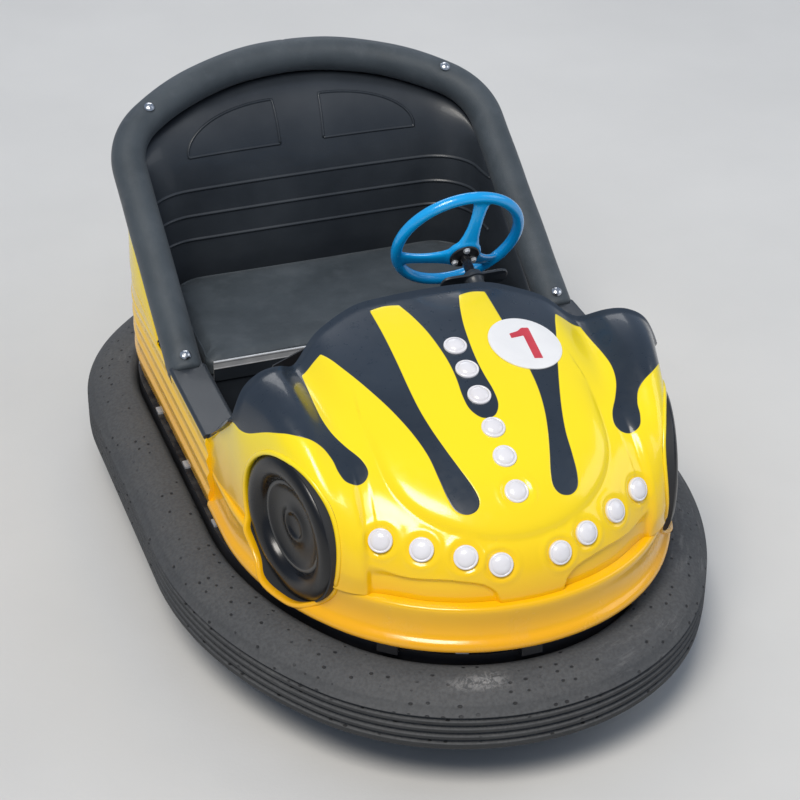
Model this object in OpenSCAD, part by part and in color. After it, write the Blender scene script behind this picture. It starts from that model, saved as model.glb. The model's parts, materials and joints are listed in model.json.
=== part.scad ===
// Two-seat bumper car with a rubber ring, a moulded body and a swivelling front drive wheel.
// Frame: +Z up, the car's front towards -Y, origin on the floor under the middle of the ring.

/* [Ring] */
// Overall length over the rubber ring
car_l = 1950; // [1800:10:2400]
// Overall width over the rubber ring
car_w = 1200; // [1060:10:1440]
// Radius of the ring's front corners in plan
ring_front_r = 920; // [800:10:1000]
// Radius of the ring's rear corners in plan
ring_rear_r = 600; // [500:10:700]
// Thickness of the ring from its inner to its outer side
ring_t = 125; // [105:1:140]
// Height of the ring's lowest edge above the floor
ring_z = 110; // [95:1:125]
// Height of the ring's section
ring_h = 144; // [130:1:165]
// Number of grooves round the ring's outer side
ring_grooves = 4; // [2:1:5]

/* [Body] */
// Wall thickness of the moulded body
body_t = 5; // [3:0.5:8]
// Distance from the ring's outer side to the body's side
body_inset_side = 138; // [130:1:150]
// Distance from the ring's nose to the body's nose
body_inset_nose = 97; // [90:1:110]
// Distance from the ring's tail to the body's tail
body_inset_tail = 135; // [128:1:150]
// Height of the body's lower edge
body_z = 285; // [280:1:300]
// Height of the crease above the body's lower lip
crease_z = 397; // [380:1:420]
// Height of the door sill
sill_z = 472; // [455:1:500]
// Height of the bonnet's rear edge on the centre line
cowl_z = 747; // [700:1:800]
// Diameter of the dummy wheel in the front wing
disc_d = 306; // [260:2:320]
// Diameter of a body lamp
lamp_d = 48; // [36:1:56]

/* [Cabin] */
// Overall height, up to the top of the padded collar
car_h = 924; // [850:2:1106]
// Diameter of the padded collar
collar_d = 80; // [66:1:96]
// Distance from the car's tail to the collar's rear centre line
collar_rear = 225; // [200:5:260]
// Distance from the collar's rear centre line to its lower ends
collar_run = 675; // [560:5:810]
// Height of the seat cushion's top
seat_z = 446; // [420:1:480]
// Thickness of the seat cushion
cushion_t = 46; // [30:1:60]
// Depth of the seat cushion
cushion_l = 440; // [380:5:500]
// Diameter of the steering wheel
wheel_d = 300; // [250:2:340]
// Rise of the steering column above the horizontal, in degrees
column_rise = 26; // [20:1:40]

/* [Running gear] */
// Diameter of the drive wheel
drive_d = 250; // [220:2:260]
// Width of the drive wheel's tyre
drive_w = 70; // [50:1:80]
// Diameter of a rear wheel
rear_d = 200; // [160:2:220]
// Width of a rear wheel's tyre
rear_w = 50; // [36:1:60]
// Height of the floor plate's top
floor_z = 146; // [140:1:160]
// Distance from the car's nose to the drive wheel's swivel axis
swivel_from_nose = 475; // [450:5:520]
// Distance from the car's tail to the rear axle
axle_from_tail = 450; // [400:5:480]

/* [Hidden] */
$fn = 96;

// Clearances
seat_gap = 0.3;      // between pieces that rest on each other
shaft_gap = 0.3;     // radial, between a shaft and its hole
move_gap = 6;        // between a moving piece and its neighbour

// Colours
c_body = [1.0, 0.78, 0.0];
c_rubber = [0.13, 0.13, 0.14];
c_black = [0.08, 0.09, 0.1];
c_pad = [0.17, 0.18, 0.2];
c_steel = [0.55, 0.56, 0.58];
c_frame = [0.1, 0.1, 0.11];
c_blue = [0.0, 0.42, 0.85];
c_white = [0.95, 0.95, 0.95];

// Plan outlines: an arc on the centre line, then a tangent side arc, then a straight side
y_nose = -car_l / 2;
y_tail = car_l / 2;
arc_sin = 0.8;       // sine and cosine of an end arc's half angle, a 3-4-5 triangle
arc_cos = 0.6;
arc_a = asin(arc_sin);
function side_r(half, r) = (half - r * arc_sin) / (1 - arc_sin);
// Radius of the middle arc that a half width and a corner radius leave
function end_r(half, corner, s) = (half - corner * (1 - s)) / s;
function side_c(half, r, yc, s) =
  let (q = side_r(half, r) - r) [-q * arc_sin, yc + s * q * arc_cos];
// An outline is [half width, nose y, nose radius, tail y, tail radius]
ring_nose_r = end_r(car_w / 2, ring_front_r, arc_sin);
ring_tail_r = end_r(car_w / 2, ring_rear_r, arc_sin);
ring_line = [car_w / 2, y_nose, ring_nose_r, y_tail, ring_tail_r];
body_line = [car_w / 2 - body_inset_side, y_nose + body_inset_nose, ring_nose_r - body_inset_nose,
  y_tail - body_inset_tail, ring_tail_r - body_inset_tail];
body_half = body_line[0];

function arc(c, r, a0, a1, n) = [for (i = [0:n]) let (a = a0 + (a1 - a0) * i / n)
  [c[0] + r * cos(a), c[1] + r * sin(a)]];
function widen(o, d) = [o[0] + d, o[1] - d, o[2] + d, o[3] + d, o[4] + d];
// Right half of an outline, from the nose to the tail
function front_c(o) = side_c(o[0], o[2], o[1] + o[2], 1);
function rear_c(o) = side_c(o[0], o[4], o[3] - o[4], -1);
function front_half(o, n) = concat(arc([0, o[1] + o[2]], o[2], -90, arc_a - 90, n),
  arc(front_c(o), side_r(o[0], o[2]), arc_a - 90, 0, n));
function rear_half(o, n) = concat(arc(rear_c(o), side_r(o[0], o[4]), 0, 90 - arc_a, n),
  arc([0, o[3] - o[4]], o[4], 90 - arc_a, 90, n));
function flip(l) = [for (i = [len(l) - 1:-1:0]) [-l[i][0], l[i][1]]];
function loop(o, n) = let (h = concat(front_half(o, n), rear_half(o, n))) concat(h, flip(h));

// Sweeps of a section along an outline: x outwards from the outline, y upwards. An arc is a full
// turn cut between two directions, so that neighbours share their seam exactly
module turn(c, r, from, to) {
  far = 2.4 * car_l;
  translate([c[0], c[1], 0]) intersection() {
    rotate_extrude($fn = 180) translate([r, 0]) children();
    linear_extrude(2 * car_h) polygon([[0, 0], far * from, far * to]);
  }
}
module run(x, y0, y1) {
  translate([x, y1, 0]) rotate([90, 0, 0]) linear_extrude(y1 - y0) children();
}
function way(a) = [cos(a), sin(a)];
module both() {
  children();
  mirror([1, 0, 0]) children();
}
function front_side_y(o) = front_c(o)[1];
function rear_side_y(o) = rear_c(o)[1];
module sweep_nose(o) {
  turn([0, o[1] + o[2]], o[2], [-arc_sin, -arc_cos], [arc_sin, -arc_cos]) children();
  both() turn(front_c(o), side_r(o[0], o[2]), [arc_sin, -arc_cos], [1, 0]) children();
}
module sweep_tail(o) {
  both() turn(rear_c(o), side_r(o[0], o[4]), [1, 0], [arc_sin, arc_cos]) children();
  turn([0, o[3] - o[4]], o[4], [arc_sin, arc_cos], [-arc_sin, arc_cos]) children();
}
module sweep_all(o) {
  sweep_nose(o) children();
  sweep_tail(o) children();
  both() run(o[0], front_side_y(o), rear_side_y(o)) children();
}

// A point at a share of a line's length
function steps(p) = [for (i = 0, s = 0; i < len(p);
  s = s + (i < len(p) - 1 ? norm(p[i + 1] - p[i]) : 0), i = i + 1) s];
function along(p, f) = let (s = steps(p)) [for (k = [0:len(p[0]) - 1])
  lookup(f * s[len(s) - 1], [for (i = [0:len(p) - 1]) [s[i], p[i][k]]])];

// A thin shell between a grid of outer points and the same grid moved inwards by its wall
function grid_normal(g, i, j) = let (a = len(g) - 1, b = len(g[0]) - 1,
  u = g[min(i + 1, a)][j] - g[max(i - 1, 0)][j],
  v = g[i][min(j + 1, b)] - g[i][max(j - 1, 0)],
  n = cross(v, u)) n / max(norm(n), 0.001);
function inwards(g, t) = [for (i = [0:len(g) - 1]) [for (j = [0:len(g[0]) - 1])
  g[i][j] - t * grid_normal(g, i, j)]];
module shell(g, t) {
  rows = len(g);
  cols = len(g[0]);
  h = inwards(g, t);
  n = rows * cols;
  quads = concat(
    [for (i = [0:rows - 2]) for (j = [0:cols - 2])
      [i * cols + j, (i + 1) * cols + j, (i + 1) * cols + j + 1, i * cols + j + 1]],
    [for (i = [0:rows - 2]) for (j = [0:cols - 2])
      [n + i * cols + j, n + i * cols + j + 1, n + (i + 1) * cols + j + 1, n + (i + 1) * cols + j]],
    [for (j = [0:cols - 2]) [j, j + 1, n + j + 1, n + j]],
    [for (j = [0:cols - 2]) let (k = (rows - 1) * cols + j) [k + 1, k, n + k, n + k + 1]],
    [for (i = [0:rows - 2]) let (k = i * cols) [k + cols, k, n + k, n + k + cols]],
    [for (i = [0:rows - 2]) let (k = i * cols + cols - 1) [k, k + cols, n + k + cols, n + k]]);
  tris = [for (q = quads) each [[q[0], q[1], q[2]], [q[0], q[2], q[3]]]];
  polyhedron([for (l = concat(g, h)) each l], tris);
}
// A point on a rounded wall that leaves the lower point upright and arrives level at the upper
function bow(low, high, a, n) = let (h = 1 - pow(cos(a), 2 / n), v = pow(sin(a), 2 / n))
  [low[0] + (high[0] - low[0]) * h, low[1] + (high[1] - low[1]) * h,
   low[2] + (high[2] - low[2]) * v];

// Rubber ring
groove_w = 8;
groove_d = 9;
groove_pitch = (ring_h - 72) / ring_grooves;
module ring_section() {
  top = ring_z + ring_h;
  shoulder = top - 38;
  first = shoulder - 12;
  dome = [for (i = [0:6]) let (a = i / 6) [-ring_t * (1 - a) - 16 * a,
    top - 6 + 6 * sin(180 * a * 0.7) - (top - 6 - shoulder) * pow(a, 2.4)]];
  outer = [for (i = [0:ring_grooves - 1]) let (z = first - groove_pitch * i)
    each [[0, z], [-groove_d, z - 2], [-groove_d, z - groove_w], [0, z - groove_w - 2]]];
  polygon(concat([[-ring_t, ring_z + 22]], dome, [[-4, shoulder - 6]], outer,
    [[-5, ring_z + 14], [-20, ring_z + 3], [-42, ring_z], [-ring_t + 18, ring_z + 6]]));
}
module bumper_ring() {
  color(c_rubber) sweep_all(ring_line) ring_section();
}

// Steel rim that carries the ring
rim_line = widen(ring_line, -ring_t - seat_gap);
rim_t = 4;
rim_top = ring_z + ring_h + 8;
module ring_rim() {
  color(c_frame) sweep_all(rim_line) polygon([[0, floor_z - 20], [0, rim_top], [-34, rim_top],
    [-34, rim_top - rim_t], [-rim_t, rim_top - rim_t], [-rim_t, floor_z - 20]]);
}
clip_l = 26;
module rim_clips() {
  color(c_steel) for (f = [0.06:0.11:0.98]) both() {
    p = along(concat(front_half(rim_line, 16), rear_half(rim_line, 16)), f);
    q = along(concat(front_half(rim_line, 16), rear_half(rim_line, 16)), f + 0.01);
    translate([p[0], p[1], rim_top + seat_gap]) rotate([0, 0, atan2(q[1] - p[1], q[0] - p[0])])
      translate([-clip_l / 2, 2, 0]) cube([clip_l, 14, 5]);
  }
}

// Brackets that carry the body on the rim
bracket_w = 50;
module bracket_profile(foot) {
  z = rim_top + seat_gap;
  x = -body_t - 1 - seat_gap;
  polygon([[-foot, z], [x, z], [x, body_z + 40], [x - 4, body_z + 40], [x - 4, z + 4], [-foot, z + 4]]);
}
module body_brackets() {
  nose_r = body_line[2];
  tail_r = body_line[4];
  color(c_frame) {
    for (a = [-130, -90, -50]) turn([0, body_line[1] + nose_r], nose_r, way(a - 3), way(a + 3))
      bracket_profile(nose_r - rim_line[2] + 30);
    for (a = [50, 90, 130]) turn([0, body_line[3] - tail_r], tail_r, way(a - 3), way(a + 3))
      bracket_profile(tail_r - rim_line[4] + 30);
    for (y = [side_y0 + 80, rear_side_y(body_line) - 120]) both()
      run(body_half, y - bracket_w / 2, y + bracket_w / 2) bracket_profile(18);
  }
}

// Lower lip of the body, one section all round
lip_bulge = 17;
lip_section = [[0, body_z], [6, body_z + 2], [lip_bulge - 2, body_z + 40], [lip_bulge, body_z + 56],
  [lip_bulge - 1, body_z + 72], [lip_bulge - 5, crease_z - 22], [lip_bulge - 12, crease_z - 8],
  [-8, crease_z - 2 * seat_gap]];
ledge = 26;           // depth of the flange that carries the front body
module lip_profile() {
  inner = [for (i = [len(lip_section) - 2:-1:0]) lip_section[i] - [body_t + 1, 0]];
  top = crease_z - 2 * seat_gap;
  polygon(concat(lip_section, [[-ledge, top], [-ledge, top - body_t], [-8, top - body_t]], inner));
}
front_run = 755;      // from the ring's nose back to where front and side mouldings meet
side_y0 = y_nose + front_run;
module front_lip() {
  color(c_body) difference() {
    lip_sweep();
    both() dish_hole();
  }
}
module lip_sweep() {
  union() {
    sweep_nose(body_line) lip_profile();
    both() run(body_half, front_side_y(body_line), side_y0) lip_profile();
  }
}

// Side and rear skirts with their strakes
strake_n = 3;
strake_h = (sill_z - body_z - 60) / strake_n;
skirt_out = concat([[0, body_z], [8, body_z + 3], [lip_bulge, body_z + 48]],
  [for (i = [0:strake_n - 1]) let (z = body_z + 56 + i * strake_h)
    each [[10, z + 6], [lip_bulge, z + strake_h - 4]]], [[14, sill_z]]);
module skirt_profile() {
  inner = [for (i = [len(skirt_out) - 1:-1:0]) skirt_out[i] - [body_t + 1, 0]];
  polygon(concat(skirt_out, inner));
}
module side_skirt_left() {
  color(c_body) difference() {
    run(body_half, side_y0 + seat_gap, rear_side_y(body_line) - seat_gap) skirt_profile();
    collar_end_cut();
  }
}
module side_skirt_right() {
  mirror([1, 0, 0]) side_skirt_left();
}
module rear_skirt() {
  color(c_body) sweep_tail(body_line) skirt_profile();
}

// Front body: rounded walls fanned between the crease and the bonnet's rear edge.
// Columns: low x and high x as a share of the half width, low y and high y from the body's nose,
// height of the upper end, squareness of the shoulder, and how far beyond the upper end the wall's
// curve would have to run to arrive level
fan = [
  [0.000, 10, 0.000, 643, 747, 1.95, 1.21],
  [0.238, 24, 0.173, 644, 744, 1.95, 1.21],
  [0.433, 59, 0.325, 648, 733, 2.0, 1.2],
  [0.595, 110, 0.487, 618, 715, 2.1, 1.14],
  [0.714, 143, 0.649, 566, 703, 2.3, 1.07],
  [0.792, 188, 0.765, 518, 706, 2.6, 1.03],
  [0.866, 268, 0.866, 498, 702, 2.8, 1.02],
  [0.920, 363, 0.940, 488, 680, 2.8, 1.02],
  [0.974, 458, 0.992, 483, 630, 2.8, 1.02],
  [0.996, 548, 1.010, 500, 600, 2.8, 1.02],
  [1.006, 600, 1.015, 585, 530, 2.8, 1.02],
  [1.012, 658, 1.017, 658, 474, 2.8, 1.02]];
function cubic(a, b, c, d, t) = 0.5 * (2 * b + (c - a) * t + (2 * a - 5 * b + 4 * c - d) * t * t
  + (3 * b - a - 3 * c + d) * t * t * t);
function fan_row(u) = let (i = min(floor(u), len(fan) - 2), t = u - i,
  a = i == 0 ? [for (k = [0:6]) (k == 0 || k == 2 ? -1 : 1) * fan[1][k]] : fan[i - 1],
  d = fan[min(i + 2, len(fan) - 1)]) cubic(a, fan[i], fan[i + 1], d, t);
nose_y = body_line[1];
// Dip between the bonnet and the wing
dip_depth = 32;
dip_w = 42;
function dip(x, y) = let (back = y - nose_y, xc = body_half * (0.58 + 0.085 * back / 560),
  f = max(0, min(1, (back - 200) / 300)))
  dip_depth * f * f * (3 - 2 * f) * exp(-pow((abs(x) - xc) / dip_w, 2));
function square(r, a) = r[5] + 0.16 - 0.32 * a / 90;
// a runs from 0 at the crease to 90 at the upper end
function fan_point(u, a) = let (s = u < 0 ? -1 : 1, r = fan_row(abs(u)), k = r[6],
  last = acos(pow(1 - 1 / k, square(r, 80) / 2)), n = square(r, a * last / 90),
  rise = pow(sin(last), 2 / square(r, last)),
  z_high = crease_z + (r[4] - 397) * (cowl_z - crease_z) / 350 / rise,
  low = [r[0] * body_half, nose_y + r[1], crease_z],
  high = [low[0] + (r[2] * body_half - low[0]) * k, low[1] + (r[3] - r[1]) * k, z_high],
  p = bow(low, high, a * last / 90, n)) [s * p[0], p[1], p[2] - dip(p[0], p[1])];
fan_rows = 16;
fan_cols = 22;
module front_body() {
  n = len(fan) - 1;
  grid = [for (j = [0:fan_rows]) [for (i = [-fan_cols:fan_cols])
    fan_point(n * i / fan_cols, 90 * j / fan_rows)]];
  color(c_body) difference() {
    shell(grid, body_t);
    both() dish_hole();
  }
}

// Dummy wheels: a dished disc in each front wing
dish_x = body_half * 0.892;
dish_y = nose_y + 303;
dish_z = 459;
dish_toe = 15;
dish_depth = 26;
module at_dish() {
  translate([dish_x, dish_y, dish_z]) rotate([0, 0, -dish_toe]) rotate([0, 90, 0]) children();
}
module dish_hole() {
  at_dish() translate([0, 0, -50]) cylinder(d = disc_d + 2 * seat_gap, h = 110);
}
module dish() {
  r = disc_d / 2;
  at_dish() rotate_extrude() polygon([[0, -dish_depth], [r * 0.42, -dish_depth],
    [r * 0.46, -dish_depth + 7], [r * 0.62, -dish_depth + 7], [r * 0.7, -dish_depth + 2],
    [r - 14, -6], [r - 8, 0], [r - 2, -2], [r, -7], [r, -12], [r - 5, -12],
    [r * 0.72, -dish_depth - 3], [0, -dish_depth - 5]]);
}
module wheel_dish_left() { color(c_black) dish(); }
module wheel_dish_right() { mirror([1, 0, 0]) wheel_dish_left(); }

// Lamps on the body: place in the fan and height above the floor
function fan_angle(u, z, a = 45, d = 22.5) = d < 0.01 ? a
  : fan_angle(u, z, a + (fan_point(u, a)[2] < z ? d : -d), d / 2);
module on_fan(u, z, lift) {
  a = fan_angle(u, z);
  p = fan_point(u, a);
  du = fan_point(u + 0.05, a) - fan_point(u - 0.05, a);
  da = fan_point(u, a + 1) - fan_point(u, a - 1);
  n = cross(du, da) / norm(cross(du, da));
  translate(p + n * lift) rotate([0, acos(n[2]), atan2(n[1], n[0])]) children();
}
module lamp() {
  r = lamp_d / 2;
  rotate_extrude() polygon([[0, 0], [r, 0], [r, 3], [r - 3, 5], [r - 5, 5],
    [r - 7, 7.5], [r * 0.4, 10], [0, 11]]);
}
// Place in the fan, height above the floor, lift off the surface
nose_lamp_places = [[0.55, 475, 0], [1.17, 492, 0], [2.05, 503, 0], [2.95, 510, 2]];
spine_lamp_z = [577, 618, 648, 678, 699, 716];
module nose_lamps() {
  color(c_white) for (p = nose_lamp_places) both() on_fan(p[0], p[1], p[2]) lamp();
}
module spine_lamps() {
  color(c_white) for (z = spine_lamp_z) on_fan(0.0, z, 0.3) lamp();
}
module number_roundel() {
  color(c_white) on_fan(1.72, 701, 0.3) cylinder(d = 156, h = 2);
}

// Collar: a padded tube in one sloping plane
collar_r = collar_d / 2;
collar_half = body_half - 22;
collar_low = [y_tail - collar_rear - collar_run, sill_z - 17];
collar_slope = atan2(car_h - collar_r - collar_low[1], collar_run);
collar_len = round(collar_run / cos(collar_slope));
collar_sin = 0.6;
collar_cos = 0.8;
collar_a = asin(collar_sin);
collar_side_r = 170;
collar_back_r = end_r(collar_half, collar_side_r, collar_sin);
collar_side_c = [(collar_back_r - collar_side_r) * collar_sin,
  collar_len - collar_back_r + (collar_back_r - collar_side_r) * collar_cos];
// Outline in the sloping plane, and a point of it in the car's frame: out and up from its centre
function collar_plan(n) = concat([[collar_half, 0]],
  arc(collar_side_c, collar_side_r, 0, 90 - collar_a, n),
  arc([0, collar_len - collar_back_r], collar_back_r, 90 - collar_a, 90, n));
function collar_point(f, out, up) = let (l = collar_plan(10), p = along(l, f),
  q = along(l, min(1, f + 0.01)) - along(l, max(0, f - 0.01)), t = q / norm(q),
  w = [p[0] + t[1] * out, p[1] - t[0] * out])
  [w[0], collar_low[0] + w[1] * cos(collar_slope) - up * sin(collar_slope),
   collar_low[1] + w[1] * sin(collar_slope) + up * cos(collar_slope)];
module in_collar_plane() {
  translate([0, collar_low[0], collar_low[1]]) rotate([collar_slope, 0, 0]) children();
}
module collar_arc(c, r, from, to) {
  translate([0, 0, -200]) turn(c, r, from, to) translate([0, 200]) children();
}
module collar_tube(r, end) {
  in_collar_plane() both() {
    run(collar_half, -end, collar_side_c[1]) circle(r = r);
    collar_arc(collar_side_c, collar_side_r, [1, 0], [collar_sin, collar_cos]) circle(r = r);
    collar_arc([0, collar_len - collar_back_r], collar_back_r, [collar_sin, collar_cos], [0, 1])
      circle(r = r);
  }
}
module collar() {
  color(c_pad) collar_tube(collar_r, 0);
}
module collar_end_cut() {
  in_collar_plane() both() run(collar_half, -2, 260) circle(r = collar_r + seat_gap);
}
bolt_low_s = 30;
bolt_high_a = 56;
module collar_bolts() {
  high = collar_side_c + collar_side_r * [cos(bolt_high_a), sin(bolt_high_a)];
  color(c_steel) in_collar_plane() both()
    for (p = [[collar_half, bolt_low_s], high]) translate([p[0], p[1], collar_r + seat_gap])
      rotate_extrude() polygon([[0, 0], [12, 0], [12, 2], [9, 5], [5, 7], [0, 8]]);
}

// Rear shell: from the skirt's top up to the collar's outer side
rear_low_line = concat([[body_half + 14, collar_low[0]]],
  rear_half(widen(body_line, 14), 12));
rear_cols = 22;
rear_rows = 8;
rear_reach = collar_r + 5;
rear_start = 0.12;    // share of the collar's half length where the shell begins
module rear_shell() {
  grid = [for (j = [0:rear_rows]) [for (i = [-rear_cols:rear_cols])
    let (f = 1 - (1 - rear_start) * abs(i) / rear_cols, s = i < 0 ? 1 : -1,
      q = along(rear_low_line, f), h = collar_point(f, rear_reach * cos(68), -rear_reach * sin(68)),
      p = bow([q[0], q[1], sill_z + 3 * seat_gap], h, 90 * j / rear_rows, 1.7)) [s * p[0], p[1], p[2]]]];
  color(c_body) shell(grid, body_t);
}

// Seat shell: inner sides and back, from the seat base up to the collar's inner side
seat_reach = collar_r + 1.8;
seat_half = body_half - 66;
seat_back_y = y_tail - collar_rear - 165;
seat_front_y = seat_back_y - cushion_l - 15;
seat_corner = 110;
seat_low_line = concat([[seat_half, collar_low[0]]],
  arc([seat_half - seat_corner, seat_back_y - seat_corner], seat_corner, 0, 90, 8),
  [[0, seat_back_y]]);
base_z = seat_z - cushion_t;
// Place on the seat shell: share of the way from the rear middle to the front end, and angle
function seat_point(f, a) = let (s = f < 0 ? -1 : 1, q = along(seat_low_line, 1 - abs(f)),
  h = collar_point(1 - abs(f), -seat_reach * cos(58), -seat_reach * sin(58)),
  p = bow([q[0], q[1], base_z - 12], h, a, 2.4)) [s * p[0], p[1], p[2]];
function seat_angle(f, z) = let (
  h = collar_point(1 - abs(f), -seat_reach * cos(58), -seat_reach * sin(58)),
  v = (z - base_z + 12) / (h[2] - base_z + 12)) asin(pow(v, 1.2));
rib_z = [516, 577, 640];
rib_r = 4;
module bead(line) {
  for (i = [0:len(line) - 2]) hull() {
    translate(line[i]) sphere(r = rib_r, $fn = 6);
    translate(line[i + 1]) sphere(r = rib_r, $fn = 6);
  }
}
window_foot = 717;
window_h = 94;
window_in = 0.06;
window_out = 0.31;
module seat_shell() {
  grid = [for (j = [0:rear_rows]) [for (i = [-rear_cols:rear_cols])
    seat_point(i / rear_cols, 90 * j / rear_rows)]];
  arch = [for (i = [0:8]) let (a = 90 * i / 8) [window_in + (window_out - window_in) * cos(a),
    window_foot + window_h * sin(a)]];
  color(c_black) {
    shell(grid, body_t);
    for (z = rib_z) bead([for (i = [-12:12]) seat_point(0.036 * i, seat_angle(0.036 * i, z))]);
    for (s = [-1, 1]) bead([for (p = concat([[window_in, window_foot + window_h],
      [window_in, window_foot]], arch)) seat_point(s * p[0], seat_angle(p[0], p[1]))]);
  }
}

module seat_outline(half, length) {
  r = seat_corner + 30;
  polygon(concat([[-half, 0], [half, 0]], arc([half - r, length - r], r, 0, 90, 10),
    arc([r - half, length - r], r, 90, 180, 10)));
}
module seat_riser() {
  color(c_black) {
    translate([-seat_half + 14, seat_front_y, floor_z + seat_gap])
      cube([2 * seat_half - 28, 6, base_z - floor_z - 2 * seat_gap]);
    translate([0, seat_front_y, base_z - 12 - seat_gap]) linear_extrude(12)
      seat_outline(seat_half - seat_gap, seat_back_y - seat_front_y - seat_gap);
  }
}
module seat_cushion() {
  w = 2 * seat_half - 18;
  r = 26;
  color(c_pad) translate([0, seat_front_y + 8, base_z]) linear_extrude(cushion_t)
    hull() for (s = [-1, 1]) {
      translate([s * (w / 2 - r), r]) circle(r = r);
      translate([s * (w / 2 - 96), cushion_l - 110]) circle(r = 90);
    }
}
module cushion_trim() {
  w = 2 * seat_half - 60;
  color(c_steel) translate([-w / 2, seat_front_y - 5 - seat_gap, base_z - 4]) cube([w, 5, cushion_t + 4]);
}

// Door sills between the front body and the collar, with the cabin's inner side walls
sill_in = body_half - 66;
sill_wall = 6;
module sill_caps() {
  low = floor_z + seat_gap;
  color(c_black) difference() {
    both() sill_wall_pair(low);
    collar_end_cut();
  }
}
module sill_wall_pair(low) {
  union() {
    run(0, side_y0 + 2, collar_low[0] - 2) polygon([[sill_in, low], [sill_in + sill_wall, low],
      [sill_in + sill_wall, sill_z + seat_gap], [body_half + 18, sill_z + seat_gap],
      [body_half + 18, sill_z + 7], [body_half + 10, sill_z + 10], [sill_in + 8, sill_z + 10],
      [sill_in, sill_z + 3]]);
    run(0, collar_low[0] - 2, seat_front_y + 6) translate([sill_in, low])
      square([sill_wall, base_z - low - 24]);
  }
}

// Toe board and pedal
toe_y = nose_y + 634;
module toe_board() {
  color(c_black) difference() {
    translate([0, toe_y, 0]) rotate([90, 0, 0]) linear_extrude(4) polygon([
      [-body_half + 70, floor_z + seat_gap], [body_half - 70, floor_z + seat_gap],
      [body_half - 70, sill_z + 60], [body_half - 130, cowl_z - 110], [170, cowl_z - 45],
      [-170, cowl_z - 45], [-body_half + 130, cowl_z - 110], [-body_half + 70, sill_z + 60]]);
    in_column_axis() translate([0, 0, -600]) cylinder(r = 26, h = 700);
  }
}
pedal_x = 150;
module accelerator_pedal() {
  color(c_steel) translate([pedal_x, toe_y + seat_gap, floor_z + 40]) {
    rotate([-30, 0, 0]) translate([-35, 8, 0]) cube([70, 8, 110]);
    translate([-10, 0, 8]) cube([20, 22, 16]);
  }
}

// Steering: wheel and column about one sloping axis
wheel_c = [130, nose_y + 790, cowl_z + 27];
hub_drop = 45;
column_r = 11;
column_len = 470;
module in_column_axis() {
  translate(wheel_c) rotate([column_rise - 90, 0, 0]) children();
}
module steering_wheel() {
  rim_r = 13;
  color(c_blue) in_column_axis() {
    rotate_extrude() translate([wheel_d / 2 - rim_r, 0]) circle(r = rim_r, $fn = 32);
    for (a = [45, 165, 285]) rotate([0, 0, a]) {
      hull() {
        translate([30, -14, -hub_drop + 2]) cube([4, 28, 8]);
        translate([wheel_d / 2 - rim_r - 22, -9, -5]) cube([14, 18, 9]);
      }
    }
    translate([0, 0, -hub_drop]) difference() {
      cylinder(r = 40, h = 12);
      translate([0, 0, -1]) cylinder(r = column_r + shaft_gap, h = 20);
    }
  }
}
module steering_hub() {
  color(c_black) in_column_axis() {
    translate([0, 0, -hub_drop - 6 - seat_gap]) difference() {
      cylinder(r = 33, h = 6);
      translate([0, 0, -1]) cylinder(r = column_r + shaft_gap, h = 20);
    }
    for (a = [30, 150, 270]) rotate([0, 0, a]) translate([24, 0, -hub_drop - 11 - seat_gap])
      cylinder(r = 6, h = 5);
  }
}
module steering_column() {
  color(c_steel) in_column_axis() translate([0, 0, -column_len]) cylinder(r = column_r, h = column_len - hub_drop + 16);
}
plate_down = 106;
module column_plate() {
  color(c_black) difference() {
    in_column_axis() union() {
      translate([0, 0, -plate_down - 30]) cylinder(r = 20, h = 40);
      translate([-75, -22, -plate_down - 8]) cube([150, 44, 6]);
    }
    in_column_axis() translate([0, 0, -plate_down - 40]) cylinder(r = column_r + shaft_gap, h = 60);
  }
}

// Gearbox under the bonnet: turns the column's motion into an upright sprocket's
swivel = [0, y_nose + swivel_from_nose];
bridge_z = 290;
box_c = [wheel_c[0], wheel_c[1] - cos(column_rise) * (column_len + 30),
  wheel_c[2] - sin(column_rise) * (column_len + 30)];
sprocket_z = bridge_z + 26;
module steering_gearbox() {
  x = box_c[0] + 56;
  color(c_frame) difference() {
    union() {
      translate(box_c - [40, 40, 40]) cube([80, 80, 80]);
      translate([box_c[0] + 39, box_c[1] - 30, box_c[2] - 40]) cube([22, 60, 70]);
      translate([x, box_c[1] - 30, bridge_z + seat_gap]) cube([8, 60, box_c[2] + 30 - bridge_z]);
      translate([x - 4, box_c[1] - 30, bridge_z + seat_gap]) cube([40, 60, 6]);
    }
    in_column_axis() translate([0, 0, -column_len - 8]) cylinder(r = column_r + shaft_gap, h = 200);
    translate([box_c[0], box_c[1], 0]) cylinder(r = 8 + shaft_gap, h = box_c[2] - 20);
  }
}
chain_pitch = 12.7;
small_teeth = 20;
big_teeth = 40;
small_r = chain_pitch * small_teeth / 360 * 180 / PI;
big_r = chain_pitch * big_teeth / 360 * 180 / PI;
module sprocket(r, teeth, h, bore) {
  difference() {
    linear_extrude(h) polygon([for (i = [0:teeth - 1]) each [
      for (k = [[-0.32, -4], [-0.12, 0], [0.12, 0], [0.32, -4]])
        (r + k[1]) * [cos(360 * (i + k[0]) / teeth), sin(360 * (i + k[0]) / teeth)]]]);
    translate([0, 0, -1]) cylinder(r = bore, h = h + 2);
  }
}
module gearbox_sprocket() {
  color(c_steel) translate([box_c[0], box_c[1], sprocket_z]) {
    sprocket(small_r, small_teeth, 7, 7);
    translate([0, 0, -8]) cylinder(r = 8, h = box_c[2] - 22 - sprocket_z + 8);
  }
}
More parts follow.
